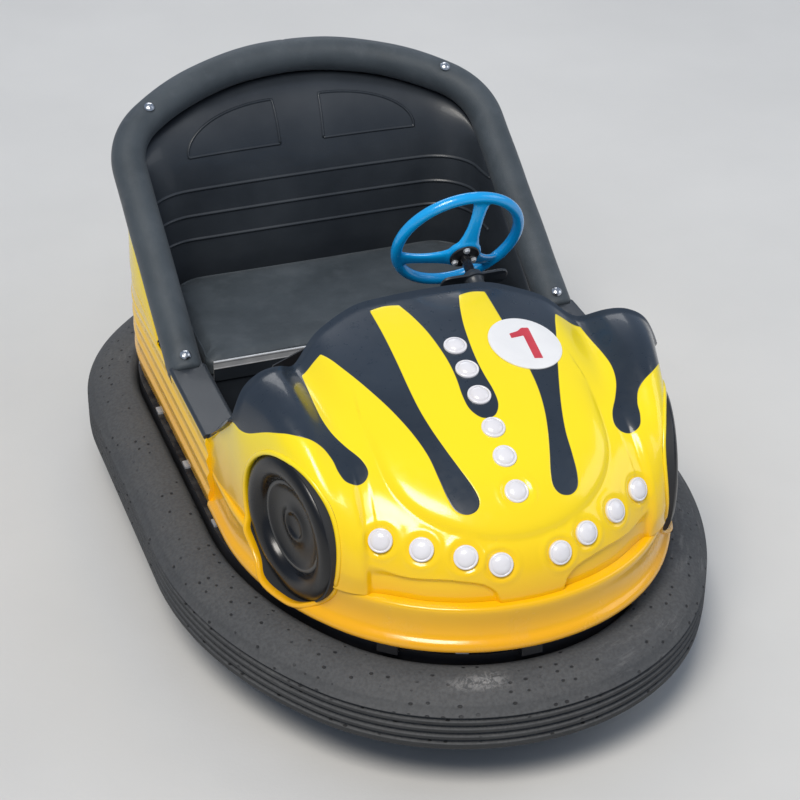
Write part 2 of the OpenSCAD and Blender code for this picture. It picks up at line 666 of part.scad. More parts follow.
module steering_chain() {
  t = 7;
  color(c_steel) translate([0, 0, sprocket_z + 0.5]) linear_extrude(6) difference() {
    hull() {
      translate([box_c[0], box_c[1]]) circle(r = small_r + 0.6 + t);
      translate(swivel) circle(r = big_r + 0.6 + t);
    }
    hull() {
      translate([box_c[0], box_c[1]]) circle(r = small_r + 0.6);
      translate(swivel) circle(r = big_r + 0.6);
    }
  }
}

// Chassis
rail_x = 300;
rail = 30;
rail_z = floor_z - 3 - seat_gap - rail;
opening_r = 268;
axle_y = y_tail - axle_from_tail;
module chassis_frame() {
  inner = widen(rim_line, -rim_t - 1);
  color(c_frame) intersection() {
    translate([0, 0, rail_z]) linear_extrude(rail) polygon(loop(inner, 12));
    union() {
      both() translate([rail_x - rail / 2, y_nose, rail_z]) cube([rail, car_l, rail]);
      for (y = [swivel[1] + opening_r + 30, seat_front_y, axle_y - rear_d / 2 - 50, axle_y + rear_d / 2 + 20])
        translate([-car_w / 2, y, rail_z]) cube([car_w, rail, rail]);
    }
  }
}
module floor_plate() {
  inner = widen(rim_line, -rim_t - seat_gap);
  color(c_frame) difference() {
    translate([0, 0, floor_z - 3]) linear_extrude(3) polygon(loop(inner, 16));
    translate([swivel[0], swivel[1], 0]) cylinder(r = opening_r, h = 400);
    both() translate([rear_x - rear_w / 2 - 10, axle_y - rear_d / 2 - 10, 0])
      cube([rear_w + 20, rear_d + 20, 400]);
  }
}
stem_r = 20;
module swivel_bridge() {
  w = 2 * rail_x + rail;
  color(c_frame) difference() {
    union() {
      translate([-w / 2, swivel[1] - 80, bridge_z - 8]) cube([w, 160, 8]);
      both() translate([rail_x - rail / 2, swivel[1] - 80, floor_z + seat_gap])
        cube([rail, 160, bridge_z - 8 - floor_z - seat_gap]);
      translate([swivel[0], swivel[1], bridge_z - 20]) cylinder(r = 60, h = 34);
    }
    translate([swivel[0], swivel[1], 0]) cylinder(r = stem_r + shaft_gap, h = 500);
  }
}

// Drive unit: fork, motor and wheel, turning about the swivel
cheek_x = drive_w / 2 + move_gap;
cheek_t = 8;
fork_top = bridge_z - 20 - seat_gap;
module drive_fork() {
  r = drive_d / 2;
  color(c_frame) translate([swivel[0], swivel[1], 0]) {
    translate([0, 0, fork_top - 8]) cylinder(r = 90, h = 8);
    translate([0, 0, fork_top - 4]) cylinder(r = stem_r, h = sprocket_z + 12 - fork_top + 4);
    difference() {
      both() translate([cheek_x, -45, r - 30]) cube([cheek_t, 90, fork_top - 4 - r + 30]);
      translate([-200, 0, r]) rotate([0, 90, 0]) cylinder(r = 9, h = 400);
    }
    translate([0, 0, sprocket_z]) sprocket(big_r, big_teeth, 7, stem_r - 1);
  }
}
module drive_motor() {
  color(c_frame) translate([swivel[0] + cheek_x + cheek_t + seat_gap, swivel[1], drive_d / 2])
    rotate([0, 90, 0]) union() {
      cylinder(r = 58, h = 24);
      cylinder(r = 52, h = 150);
      translate([0, 0, 150]) cylinder(r = 40, h = 8);
    }
}
axle_pin_r = 10;
module drive_hub() {
  r = drive_d / 2;
  color(c_steel) translate([swivel[0], swivel[1], r]) rotate([0, 90, 0]) {
    translate([0, 0, -drive_w / 2]) cylinder(r = r - 32, h = drive_w);
    translate([0, 0, -cheek_x - cheek_t]) cylinder(r = 9 - shaft_gap, h = 2 * cheek_x + 2 * cheek_t);
  }
}
module tyre(d, w, bore) {
  r = d / 2;
  rotate([0, 90, 0]) rotate_extrude() polygon([[bore, -w / 2], [r - 8, -w / 2], [r, -w / 2 + 8],
    [r, w / 2 - 8], [r - 8, w / 2], [bore, w / 2]]);
}
module drive_tyre() {
  color(c_rubber) translate([swivel[0], swivel[1], drive_d / 2])
    tyre(drive_d, drive_w, drive_d / 2 - 32 + 0.05);
}

// Rear axle and wheels
rear_x = 352;
rear_hub_r = 56;
axle_end_r = 8;        // the axle's free ends, outside the wheels
axle_end_l = 12;
module rear_axle() {
  color(c_frame) translate([0, axle_y, rear_d / 2]) {
    rotate([0, 90, 0]) translate([0, 0, -rear_x - rear_w / 2 - 3])
      cylinder(r = axle_pin_r, h = 2 * rear_x + rear_w + 6);
    rotate([0, 90, 0]) translate([0, 0, -rear_x - rear_w / 2 - 3 - axle_end_l])
      cylinder(r = axle_end_r, h = 2 * rear_x + rear_w + 6 + 2 * axle_end_l);
    both() translate([rail_x - rail / 2, -20, -22]) cube([rail, 40, rail_z - rear_d / 2 + 22 - seat_gap]);
  }
}
module rear_hub() {
  color(c_steel) translate([rear_x, axle_y, rear_d / 2]) rotate([0, 90, 0]) difference() {
    translate([0, 0, -rear_w / 2 - 2]) cylinder(r = rear_hub_r, h = rear_w + 4);
    translate([0, 0, -rear_w]) cylinder(r = axle_pin_r + shaft_gap, h = 2 * rear_w);
  }
}
module rear_tyre() {
  color(c_rubber) translate([rear_x, axle_y, rear_d / 2]) tyre(rear_d, rear_w, rear_hub_r + 0.05);
}
module rear_hub_left() { rear_hub(); }
module rear_tyre_left() { rear_tyre(); }
module rear_hub_right() { mirror([1, 0, 0]) rear_hub(); }
module rear_tyre_right() { mirror([1, 0, 0]) rear_tyre(); }
module battery_pack() {
  color(c_black) translate([-230, axle_y - 120, floor_z + seat_gap]) cube([460, 200, 200]);
}

bumper_ring();
ring_rim();
rim_clips();
body_brackets();
front_lip();
front_body();
side_skirt_left();
side_skirt_right();
rear_skirt();
rear_shell();
sill_caps();
wheel_dish_left();
wheel_dish_right();
nose_lamps();
spine_lamps();
number_roundel();
seat_shell();
seat_riser();
seat_cushion();
cushion_trim();
collar();
collar_bolts();
toe_board();
accelerator_pedal();
column_plate();
steering_column();
steering_hub();
steering_wheel();
steering_gearbox();
gearbox_sprocket();
steering_chain();
chassis_frame();
floor_plate();
swivel_bridge();
drive_fork();
drive_motor();
drive_hub();
drive_tyre();
battery_pack();
rear_axle();
rear_hub_left();
rear_tyre_left();
rear_hub_right();
rear_tyre_right();
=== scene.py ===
# Bumper car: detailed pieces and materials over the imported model.
# Metres, +Z up, the car's front towards -Y. Outlines repeat the model's source, so they are in millimetres.
import json
import math

import bmesh
import bpy
import numpy as np
from mathutils import Matrix, Vector
from mathutils.bvhtree import BVHTree
from mathutils.kdtree import KDTree


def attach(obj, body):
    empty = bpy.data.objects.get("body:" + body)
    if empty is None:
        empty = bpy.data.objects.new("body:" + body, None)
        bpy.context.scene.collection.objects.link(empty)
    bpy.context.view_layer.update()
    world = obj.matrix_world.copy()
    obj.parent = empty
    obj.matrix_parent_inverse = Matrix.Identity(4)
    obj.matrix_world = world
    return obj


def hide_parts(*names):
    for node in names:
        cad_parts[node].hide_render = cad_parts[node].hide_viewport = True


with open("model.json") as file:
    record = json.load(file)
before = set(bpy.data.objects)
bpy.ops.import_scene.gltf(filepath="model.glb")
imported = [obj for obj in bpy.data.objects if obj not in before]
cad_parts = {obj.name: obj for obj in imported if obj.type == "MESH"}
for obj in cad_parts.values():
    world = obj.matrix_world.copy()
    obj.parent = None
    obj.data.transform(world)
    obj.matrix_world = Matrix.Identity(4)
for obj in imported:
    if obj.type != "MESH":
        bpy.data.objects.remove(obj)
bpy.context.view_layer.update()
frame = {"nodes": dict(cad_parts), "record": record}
CAR = "car_body"
MM = 1000.0
TAU = 2 * math.pi
ACROSS, BACKWARDS, UP = np.eye(3)
SIDES = (("left", 1), ("right", -1))


# Meshes
def shade_smooth(ob, sharp=None):
    """Smooth shading, where edges of more than sharp degrees stay sharp."""
    ob.data.polygons.foreach_set("use_smooth", [True] * len(ob.data.polygons))
    if sharp:
        ob.data.set_sharp_from_angle(angle=math.radians(sharp))


def make_mesh(name, verts, faces, smooth=True):
    me = bpy.data.meshes.new(name)
    me.from_pydata([tuple(map(float, v)) for v in verts], [], [tuple(map(int, f)) for f in faces])
    me.update()
    ob = bpy.data.objects.new(name, me)
    bpy.context.scene.collection.objects.link(ob)
    if smooth:
        shade_smooth(ob)
    return ob


def solid(name, shape, sharp=None, smooth=True):
    """A closed mesh of (vertices, faces) with every face turned outwards."""
    ob = make_mesh(name, *shape, smooth=smooth)
    bm = bmesh.new()
    bm.from_mesh(ob.data)
    bmesh.ops.recalc_face_normals(bm, faces=bm.faces)
    bm.to_mesh(ob.data)
    bm.free()
    if sharp:
        ob.data.set_sharp_from_angle(angle=math.radians(sharp))
    return ob


def apply_modifiers(ob):
    dg = bpy.context.evaluated_depsgraph_get()
    me = bpy.data.meshes.new_from_object(ob.evaluated_get(dg), depsgraph=dg)
    ob.modifiers.clear()
    old = ob.data
    ob.data = me
    bpy.data.meshes.remove(old)


def cut(ob, cutter, sharp):
    mod = ob.modifiers.new("cut", "BOOLEAN")
    mod.operation = "DIFFERENCE"
    mod.object = cutter
    mod.solver = "EXACT"
    apply_modifiers(ob)
    shade_smooth(ob, sharp)


def remesh(ob, voxel):
    mod = ob.modifiers.new("remesh", "REMESH")
    mod.mode = "VOXEL"
    mod.voxel_size = voxel


def relax(ob, times):
    mod = ob.modifiers.new("smooth", "SMOOTH")
    mod.iterations = times
    mod.factor = 0.5


def add_attribute(ob, name, values):
    at = ob.data.attributes.new(name, "FLOAT", "POINT")
    at.data.foreach_set("value", np.asarray(values, dtype=np.float32))


def place(ob, slot, looks=None, body=CAR, replaces=()):
    """Gives a piece its looks (the slot's own unless others are named), hangs it under its body and hides
    what it stands for.
    """
    ob.data.materials.clear()
    for look in looks or [slot]:
        ob.data.materials.append(M[look])
    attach(ob, body)
    if replaces:
        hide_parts(*replaces)


def dark_inside(ob):
    """Gives the second material to the faces that look into the car."""
    front_centre, rear_centre, inward = -0.455, 0.375, -0.15
    for q in ob.data.polygons:
        x, y = q.center.x, q.center.y
        away = Vector((x, y - front_centre if y < front_centre else max(0.0, y - rear_centre), 0.0))
        if q.normal.dot(away.normalized()) < inward:
            q.material_index = 1


def grid_faces(rows, cols, close=False, loop=False, start=0):
    """Quads over a grid. close joins the last column to the first, loop the last row to the first."""
    r = np.arange(rows if loop else rows - 1)[:, None]
    c = np.arange(cols if close else cols - 1)[None, :]
    below = (r + 1) % rows * cols
    beside = (c + 1) % cols
    q = np.stack([r * cols + c, r * cols + beside, below + beside, below + c], axis=-1)
    return (q.reshape(-1, 4) + start).tolist()


def grid_normals(p):
    n = np.cross(np.gradient(p, axis=1), np.gradient(p, axis=0))
    return n / np.maximum(np.linalg.norm(n, axis=2, keepdims=True), 1e-9)


def shell(outer, inner):
    """Closed shell between two grids of the same size."""
    rows, cols = outer.shape[:2]
    n = rows * cols
    rim = [(j + 1, j) for j in range(cols - 1)]
    rim += [(j, j + 1) for j in range(n - cols, n - 1)]
    rim += [(i, i + cols) for i in range(0, n - cols, cols)]
    rim += [(i + cols, i) for i in range(cols - 1, n - 1, cols)]
    faces = grid_faces(rows, cols)
    faces += [q[::-1] for q in grid_faces(rows, cols, start=n)]
    faces += [(a, b, b + n, a + n) for a, b in rim]
    return np.concatenate([outer.reshape(-1, 3), inner.reshape(-1, 3)]), faces


def half_shell(outer, inner):
    """Closed shell between a grid and an inner grid of half its resolution."""
    rows, cols = outer.shape[:2]
    inner_rows, inner_cols = inner.shape[:2]
    n = rows * cols
    faces = grid_faces(rows, cols)
    faces += [q[::-1] for q in grid_faces(inner_rows, inner_cols, start=n)]
    top, inner_top = (rows - 1) * cols, n + (inner_rows - 1) * inner_cols
    for k in range(inner_cols - 1):
        a = 2 * k
        faces.append((a + 2, a + 1, a, n + k, n + k + 1))
        faces.append((top + a, top + a + 1, top + a + 2, inner_top + k + 1, inner_top + k))
    w, v = cols - 1, inner_cols - 1
    for k in range(inner_rows - 1):
        a, b, c = (row * cols for row in range(2 * k, 2 * k + 3))
        d, e = (n + row * inner_cols for row in (k, k + 1))
        faces.append((a, b, c, e, d))
        faces.append((c + w, b + w, a + w, d + v, e + v))
    return np.concatenate([outer.reshape(-1, 3), inner.reshape(-1, 3)]), faces


def loft(rings):
    """Closed solid over a stack of rings of points."""
    rings = np.array(rings)
    n, m = rings.shape[:2]
    ends = [tuple(range(m))[::-1], tuple(range((n - 1) * m, n * m))]
    return rings.reshape(-1, 3), grid_faces(n, m, close=True) + ends


def revolve(profile, steps=96):
    """A turned solid of (radius, height) points, which end on the axis or make a closed outline."""
    prof = np.asarray(profile, dtype=float)
    on_axis = [prof[0][0] < 1e-9, prof[-1][0] < 1e-9]
    body = prof[1 if on_axis[0] else 0:len(prof) - 1 if on_axis[1] else len(prof)]
    turn = np.linspace(0, TAU, steps, endpoint=False)
    verts = [(r * math.cos(t), r * math.sin(t), z) for r, z in body for t in turn]
    faces = grid_faces(len(body), steps, close=True, loop=not any(on_axis))
    if on_axis[0]:
        faces += [(len(verts), (i + 1) % steps, i) for i in range(steps)]
        verts.append((0, 0, prof[0][1]))
    if on_axis[1]:
        base = (len(body) - 1) * steps
        faces += [(len(verts), base + i, base + (i + 1) % steps) for i in range(steps)]
        verts.append((0, 0, prof[-1][1]))
    return np.array(verts), faces


def sweep(points, outs, ups, section, close=False):
    """Sweeps a closed section of (out, up) pairs along points. outs and ups hold one vector or many."""
    sec = np.asarray(section, dtype=float)
    n, m = len(points), len(sec)
    outs, ups = (np.broadcast_to(v, points.shape)[:, None, :] for v in (outs, ups))
    verts = points[:, None, :] + outs * sec[None, :, 0:1] + ups * sec[None, :, 1:2]
    faces = grid_faces(n, m, close=True, loop=close)
    if not close:
        faces += [tuple(range(m)), tuple(range((n - 1) * m, n * m))[::-1]]
    return verts.reshape(-1, 3), faces


def merge(parts):
    verts, faces, base = [], [], 0
    for v, f in parts:
        verts.append(np.asarray(v, dtype=float))
        faces += [tuple(int(i) + base for i in q) for q in f]
        base += len(v)
    return np.concatenate(verts), faces


def mirror_x(part):
    verts, faces = part
    return np.asarray(verts) * (-1, 1, 1), [tuple(q)[::-1] for q in faces]


def to_matrix(origin, x, y, z):
    m = Matrix.Identity(4)
    for i in range(3):
        m[i][0], m[i][1], m[i][2], m[i][3] = x[i], y[i], z[i], origin[i]
    return m


def moved(verts, m):
    turn = np.array([row[:3] for row in m[:3]])
    return np.asarray(verts) @ turn.T + np.array([row[3] for row in m[:3]])


def bvh_of(*obs):
    v, f = [], []
    for ob in obs:
        base = len(v)
        v += [tuple(x.co) for x in ob.data.vertices]
        f += [tuple(base + i for i in q.vertices) for q in ob.data.polygons]
    return BVHTree.FromPolygons(v, f)


# Lines and numbers
def smoothstep(x, a, b):
    t = np.clip((x - a) / (b - a), 0.0, 1.0)
    return t * t * (3 - 2 * t)


def dent(x, width, power=2):
    """A smooth bump of height 1 at x = 0."""
    return np.exp(-(x / width) ** power)


def cubic(p0, p1, p2, p3, t):
    """Catmull-Rom step from p1 to p2."""
    return 0.5 * (2 * p1 + (p2 - p0) * t + (2 * p0 - 5 * p1 + 4 * p2 - p3) * t * t
                  + (3 * p1 - p0 - 3 * p2 + p3) * t ** 3)


def spline(points, per=10):
    """Points on a smooth open line through some, any dimension."""
    p = np.asarray(points, dtype=float)
    a = np.vstack([2 * p[0] - p[1], p, 2 * p[-1] - p[-2]])
    out = [cubic(*a[i:i + 4], k / per) for i in range(len(p) - 1) for k in range(per)]
    return np.array(out + [p[-1]])


def distances(line):
    """Distance of each point of a line from its start."""
    return np.concatenate([[0], np.cumsum(np.linalg.norm(np.diff(line, axis=0), axis=1))])


def interpolate(t, s, values):
    """Rows of values, known at distances s, at distances t."""
    return np.stack([np.interp(t, s, column) for column in values.T], axis=-1)


def resample(line, count):
    """Even points along a line."""
    s = distances(line)
    return interpolate(np.linspace(0, s[-1], count), s, line)


def column_runs(fine):
    """Distance down each column of a grid of points."""
    step = np.linalg.norm(np.diff(fine, axis=0), axis=2)
    return np.concatenate([np.zeros((1, fine.shape[1])), np.cumsum(step, axis=0)])


def even_rows(fine, rows):
    """A grid of rows that lie evenly down each column of a finer grid."""
    run = column_runs(fine)
    columns = []
    for j in range(fine.shape[1]):
        columns.append(interpolate(np.linspace(0, run[-1, j], rows), run[:, j], fine[:, j]))
    return np.stack(columns, axis=1)


def rounded(poly, radius, steps=4):
    """A closed polygon whose corners are rounded, each by its radius as far as its sides allow."""
    p = np.asarray(poly, dtype=float)
    n = len(p)
    out = []
    for i in range(n):
        a, b, c = p[i - 1], p[i], p[(i + 1) % n]
        r = radius[i] if hasattr(radius, "__len__") else radius
        la, lc = np.linalg.norm(a - b), np.linalg.norm(c - b)
        r = min(r, la * 0.45, lc * 0.45)
        if r <= 1e-6:
            out.append(b)
            continue
        s, e = b + (a - b) / la * r, b + (c - b) / lc * r
        for k in range(steps + 1):
            t = k / steps
            out.append((1 - t) ** 2 * s + 2 * t * (1 - t) * b + t * t * e)
    return np.array(out)


def circle_points(count, start=0.0):
    """Cosines and sines of even angles round a circle."""
    return [(math.cos(TAU * k / count + start), math.sin(TAU * k / count + start)) for k in range(count)]


# Materials
class Mat:
    """A small builder for node materials."""

    def __init__(self, name):
        self.m = bpy.data.materials.new(name)
        self.m.use_nodes = True
        self.t = self.m.node_tree
        self.t.nodes.clear()
        self.shader = self.node("BsdfPrincipled")
        self.t.links.new(self.shader.outputs[0], self.node("OutputMaterial").inputs[0])
        self.object = self.node("TexCoord").outputs["Object"]
        self.tilt = None

    def put(self, socket, value):
        if isinstance(value, bpy.types.NodeSocket):
            self.t.links.new(value, socket)
        elif value is not None:
            socket.default_value = value

    def feed(self, node, inputs):
        for name, value in inputs.items():
            self.put(node.inputs[name.replace("_", " ")], value)

    def node(self, kind, **inputs):
        n = self.t.nodes.new("ShaderNode" + kind)
        self.feed(n, inputs)
        return n

    def set(self, **inputs):
        self.feed(self.shader, inputs)

    def attr(self, name):
        n = self.node("Attribute")
        n.attribute_name = name
        return n.outputs["Fac"]

    def noise(self, scale, detail=3.0, rough=0.55, vector=None, distortion=0.0):
        return self.node("TexNoise", Vector=vector or self.object, Scale=scale, Detail=detail,
                         Roughness=rough, Distortion=distortion).outputs["Fac"]

    def voronoi(self, scale, feature="F1", vector=None, randomness=1.0):
        n = self.node("TexVoronoi", Vector=vector or self.object, Scale=scale, Randomness=randomness)
        n.feature = feature
        return n.outputs["Distance"]

    def ramp(self, fac, stops):
        n = self.node("ValToRGB", Fac=fac)
        e = n.color_ramp.elements
        while len(e) < len(stops):
            e.new(0.5)
        for i, (position, colour) in enumerate(stops):
            e[i].position = position
            e[i].color = (*colour, 1.0)
        return n.outputs[0]

    def grey(self, fac, lo, hi, a=0.0, b=1.0):
        """Maps fac from lo..hi to a..b, clamped."""
        return self.node("MapRange", Value=fac, From_Min=lo, From_Max=hi, To_Min=a, To_Max=b).outputs[0]

    def spread(self, fac, a=0.0, b=1.0):
        """Maps a noise's usual range to a..b."""
        return self.grey(fac, 0.3, 0.7, a, b)

    def mix(self, fac, a, b):
        n = self.node("Mix")
        n.data_type = "RGBA"
        self.put(n.inputs[0], fac)
        self.put(n.inputs[6], a if isinstance(a, bpy.types.NodeSocket) else (*a, 1.0))
        self.put(n.inputs[7], b if isinstance(b, bpy.types.NodeSocket) else (*b, 1.0))
        return n.outputs[2]

    def tone(self, fac, dark, light):
        """Two colours in soft clouds."""
        return self.mix(self.spread(fac), dark, light)

    def cover(self, fac, amount, base, colour):
        """Base with a colour over it, where fac says, at most by amount."""
        return self.mix(self.times(fac, amount), base, colour)

    def math(self, operation, a, b=None):
        n = self.node("Math")
        n.operation = operation
        self.put(n.inputs[0], a)
        self.put(n.inputs[1], b)
        return n.outputs[0]

    def times(self, a, b):
        return self.math("MULTIPLY", a, b)

    def plus(self, a, b):
        return self.math("ADD", a, b)

    def minus(self, a, b):
        return self.math("SUBTRACT", a, b)

    def split(self, vector):
        return self.node("SeparateXYZ", Vector=vector).outputs

    def combine(self, x, y, z):
        return self.node("CombineXYZ", X=x, Y=y, Z=z).outputs[0]

    def normal_z(self):
        return self.split(self.node("NewGeometry").outputs["Normal"])[2]

    def bump(self, height, distance, strength):
        """Adds relief to what is there already."""
        n = self.node("Bump", Height=height, Distance=distance, Strength=strength, Normal=self.tilt)
        self.tilt = n.outputs[0]
        self.set(Normal=self.tilt)


def body_paint(name, flames):
    """Glossy gel coat: lemon on top and more orange low down by height, painted light and shade; charcoal
    flames, their blue tint a painted sky reflection; dust in the low parts.
    """
    k = Mat(name)
    z = k.split(k.object)[2]
    cloud = k.noise(3.0, 4)
    # Painted light and shade by height: orange low down, lemon on top as if lit from above
    high = k.plus(k.grey(z, 0.30, 0.62), k.times(k.minus(cloud, 0.5), 0.25))
    colour = k.ramp(high, [(0.0, (0.87, 0.40, 0.002)), (0.35, (0.94, 0.53, 0.003)),
                           (0.7, (0.98, 0.69, 0.005)), (1.0, (1.0, 0.78, 0.008))])
    dust = k.times(k.grey(k.noise(9.0, 5, 0.65), 0.52, 0.74), k.grey(z, 0.42, 0.28))
    colour = k.cover(dust, 0.22, colour, (0.42, 0.33, 0.16))
    rough = k.spread(k.noise(60.0, 3), 0.16, 0.26)
    if flames:
        edge = k.attr("paint_edge")
        # Charcoal flames, their blue tint a painted reflection of the sky
        black = k.mix(k.grey(cloud, 0.35, 0.65), (0.014, 0.021, 0.032), (0.024, 0.034, 0.049))
        yellow = k.grey(edge, -0.0007, 0.0007)
        colour = k.mix(yellow, black, colour)
        k.bump(k.grey(k.math("ABSOLUTE", edge), 0.0, 0.0022), 0.0006, 0.6)
        rough = k.plus(rough, k.times(k.minus(1.0, yellow), 0.10))
    k.set(Base_Color=colour, Roughness=k.plus(rough, k.times(dust, 0.3)))
    k.bump(k.noise(22.0, 2), 0.0008, 0.25)
    k.set(Coat_Weight=0.4, Coat_Roughness=0.06, IOR=1.45)
    return k.m


def ring_rubber():
    """Aged rubber: grey on top partly from dust and sun and partly painted light, rows of small pits painted
    dark as their shade, pale scuffs, a darker low side as painted shade.
    """
    k = Mat("ring_rubber")
    x, y, z = k.split(k.object)
    along, round_ring = k.attr("ring_s"), k.attr("ring_t")
    up = k.grey(k.normal_z(), 0.15, 0.9)
    patch = k.noise(5.0, 5, 0.62)
    grain = k.noise(140.0, 4, 0.6)
    # Partly dust and sun, partly painted light and shade: lighter where the face looks up, darker on the low
    # side
    base = k.mix(up, (0.019, 0.020, 0.021), (0.082, 0.084, 0.087))
    base = k.mix(k.grey(patch, 0.35, 0.7, 0.0, 0.40), base, (0.115, 0.115, 0.114))
    base = k.mix(k.grey(grain, 0.38, 0.68, 0.0, 0.40), base, (0.026, 0.026, 0.028))
    # Small pits in rows round the top, each painted dark as the shade inside it
    cell = k.combine(k.times(along, 1 / 0.034), k.times(round_ring, 1 / 0.022), 0.0)
    near = k.voronoi(1.0, vector=cell, randomness=0.34)
    pit = k.times(k.grey(near, 0.165, 0.10), k.grey(k.noise(7.0, 2), 0.30, 0.42))
    pit = k.times(pit, k.grey(up, 0.2, 0.6))
    base = k.cover(pit, 0.85, base, (0.010, 0.010, 0.011))
    # Pale scuffs drawn out along the ring, on the lands between the grooves too
    stretch = k.combine(k.times(along, 12.0), k.times(round_ring, 70.0), z)
    streak = k.noise(1.0, 6, 0.7, vector=stretch)
    scuff = k.times(k.grey(streak, 0.54, 0.70), k.grey(k.noise(2.2, 2), 0.50, 0.66))
    base = k.cover(scuff, 0.5, base, (0.24, 0.235, 0.23))
    # One worn patch on the nose
    spot = k.times(k.grey(x, -0.215, -0.165), k.grey(x, -0.055, -0.105))
    spot = k.times(spot, k.times(k.grey(y, -0.870, -0.905), k.grey(z, 0.236, 0.246)))
    spot = k.times(spot, k.grey(k.noise(70.0, 5, 0.75, distortion=1.2), 0.44, 0.58))
    base = k.cover(spot, 0.75, base, (0.42, 0.41, 0.40))
    k.set(Base_Color=base, Roughness=k.spread(patch, 0.55, 0.80), Specular_IOR_Level=0.35)
    k.bump(k.plus(k.times(grain, 0.5), k.times(k.noise(30.0, 3), 0.7)), 0.0012, 0.5)
    k.bump(k.minus(1.0, pit), 0.0020, 0.9)
    return k.m


def leatherette():
    """Dark slate artificial leather, its blue partly a painted sky reflection: fine grain, soft creases,
    rubbed lighter in patches.
    """
    k = Mat("pad_leather")
    cloud = k.noise(6.0, 4, 0.6)
    grain = k.voronoi(420.0, feature="DISTANCE_TO_EDGE")
    pores = k.noise(900.0, 2)
    wear = k.grey(k.noise(16.0, 6, 0.7), 0.5, 0.75)
    # Slate tones made bluer, a painted reflection of the sky
    base = k.tone(cloud, (0.038, 0.048, 0.056), (0.065, 0.079, 0.091))
    base = k.cover(wear, 0.35, base, (0.115, 0.130, 0.145))
    k.set(Base_Color=base, Roughness=k.spread(cloud, 0.42, 0.58), Specular_IOR_Level=0.45, Sheen_Weight=0.06)
    k.bump(k.plus(k.grey(grain, 0.0, 0.12), k.times(pores, 0.4)), 0.0003, 0.55)
    k.bump(k.noise(18.0, 3, 0.5, distortion=0.4), 0.004, 0.35)
    return k.m


def moulding(name, dark, light, rough, coat=0.0, grain=260.0, scratches=0.0):
    """Moulded plastic with an orange-peel or fine grained surface."""
    k = Mat(name)
    cloud = k.noise(5.0, 4)
    base = k.tone(cloud, dark, light)
    if scratches:
        drawn_out = k.node("Mapping", Vector=k.object, Scale=(30, 30, 260), Rotation=(0.4, 0.2, 0.3))
        long = k.noise(1.0, 5, 0.7, vector=drawn_out.outputs[0])
        base = k.cover(k.grey(long, 0.60, 0.74), scratches, base, [min(1.0, c * 2.2 + 0.03) for c in light])
    k.set(Base_Color=base, Roughness=k.spread(cloud, *rough))
    k.bump(k.noise(grain, 3), 0.0003, 0.5)
    k.bump(k.noise(12.0, 2), 0.001, 0.25)
    if coat:
        k.set(Coat_Weight=coat, Coat_Roughness=0.08)
    return k.m


def painted_steel():
    k = Mat("frame_paint")
    cloud = k.noise(7.0, 5, 0.6)
    dust = k.times(k.grey(k.noise(24.0, 6, 0.7), 0.45, 0.72), k.grey(k.normal_z(), 0.5, 1.0))
    rust = k.grey(k.noise(38.0, 6, 0.72), 0.66, 0.74)
    base = k.tone(cloud, (0.012, 0.012, 0.014), (0.024, 0.024, 0.027))
    base = k.cover(dust, 0.35, base, (0.16, 0.145, 0.12))
    base = k.cover(rust, 0.5, base, (0.13, 0.055, 0.024))
    k.set(Base_Color=base, Roughness=k.plus(k.spread(cloud, 0.30, 0.46), k.times(dust, 0.3)))
    k.bump(k.noise(180.0, 3), 0.0004, 0.5)
    return k.m


def bright_steel():
    k = Mat("bright_steel")
    line = k.noise(180.0, 2)
    spot = k.grey(k.noise(60.0, 5, 0.7), 0.68, 0.80)
    base = k.tone(k.noise(20.0, 4), (0.50, 0.51, 0.53), (0.68, 0.69, 0.71))
    base = k.cover(spot, 0.25, base, (0.26, 0.22, 0.18))
    k.set(Base_Color=base, Metallic=1.0, Roughness=k.spread(line, 0.20, 0.30))
    k.bump(line, 0.00003, 0.25)
    return k.m


def aluminium():
    """Dull bright metal: plated clips and the cushion's edge."""
    k = Mat("aluminium")
    base = k.tone(k.noise(30.0, 4), (0.62, 0.63, 0.65), (0.76, 0.77, 0.78))
    k.set(Base_Color=base, Metallic=0.45, Roughness=k.spread(k.noise(160.0, 3), 0.28, 0.42))
    k.bump(k.noise(240.0, 2), 0.0001, 0.4)
    return k.m


def lamp_lens():
    """White lamp lens with a fine pebbled face and a slightly warm body under the gloss."""
    k = Mat("lamp_white")
    cloud = k.noise(14.0, 3)
    spot = k.grey(k.noise(55.0, 5, 0.7), 0.6, 0.8)
    base = k.cover(spot, 0.2, k.tone(cloud, (0.78, 0.75, 0.77), (0.84, 0.82, 0.84)), (0.60, 0.56, 0.55))
    k.set(Base_Color=base, Roughness=k.spread(cloud, 0.18, 0.28), Coat_Weight=0.5, Coat_Roughness=0.06)
    k.bump(k.voronoi(260.0, feature="SMOOTH_F1"), 0.0004, 0.35)
    return k.m


def tyre():
    k = Mat("tyre_rubber")
    cloud = k.noise(14.0, 5, 0.6)
    dust = k.grey(k.noise(60.0, 6, 0.7), 0.5, 0.75)
    base = k.tone(cloud, (0.020, 0.020, 0.021), (0.040, 0.039, 0.038))
    base = k.cover(dust, 0.35, base, (0.15, 0.14, 0.12))
    k.set(Base_Color=base, Roughness=k.spread(cloud, 0.6, 0.85))
    k.bump(k.noise(320.0, 3), 0.0006, 0.6)
    return k.m


def sticker(name, dark, light):
    k = Mat(name)
    k.set(Base_Color=k.tone(k.noise(20.0, 4), dark, light), Roughness=k.spread(k.noise(90.0, 2), 0.35, 0.45))
    k.set(Coat_Weight=0.3, Coat_Roughness=0.12)
    k.bump(k.noise(45.0, 2), 0.0003, 0.3)
    return k.m


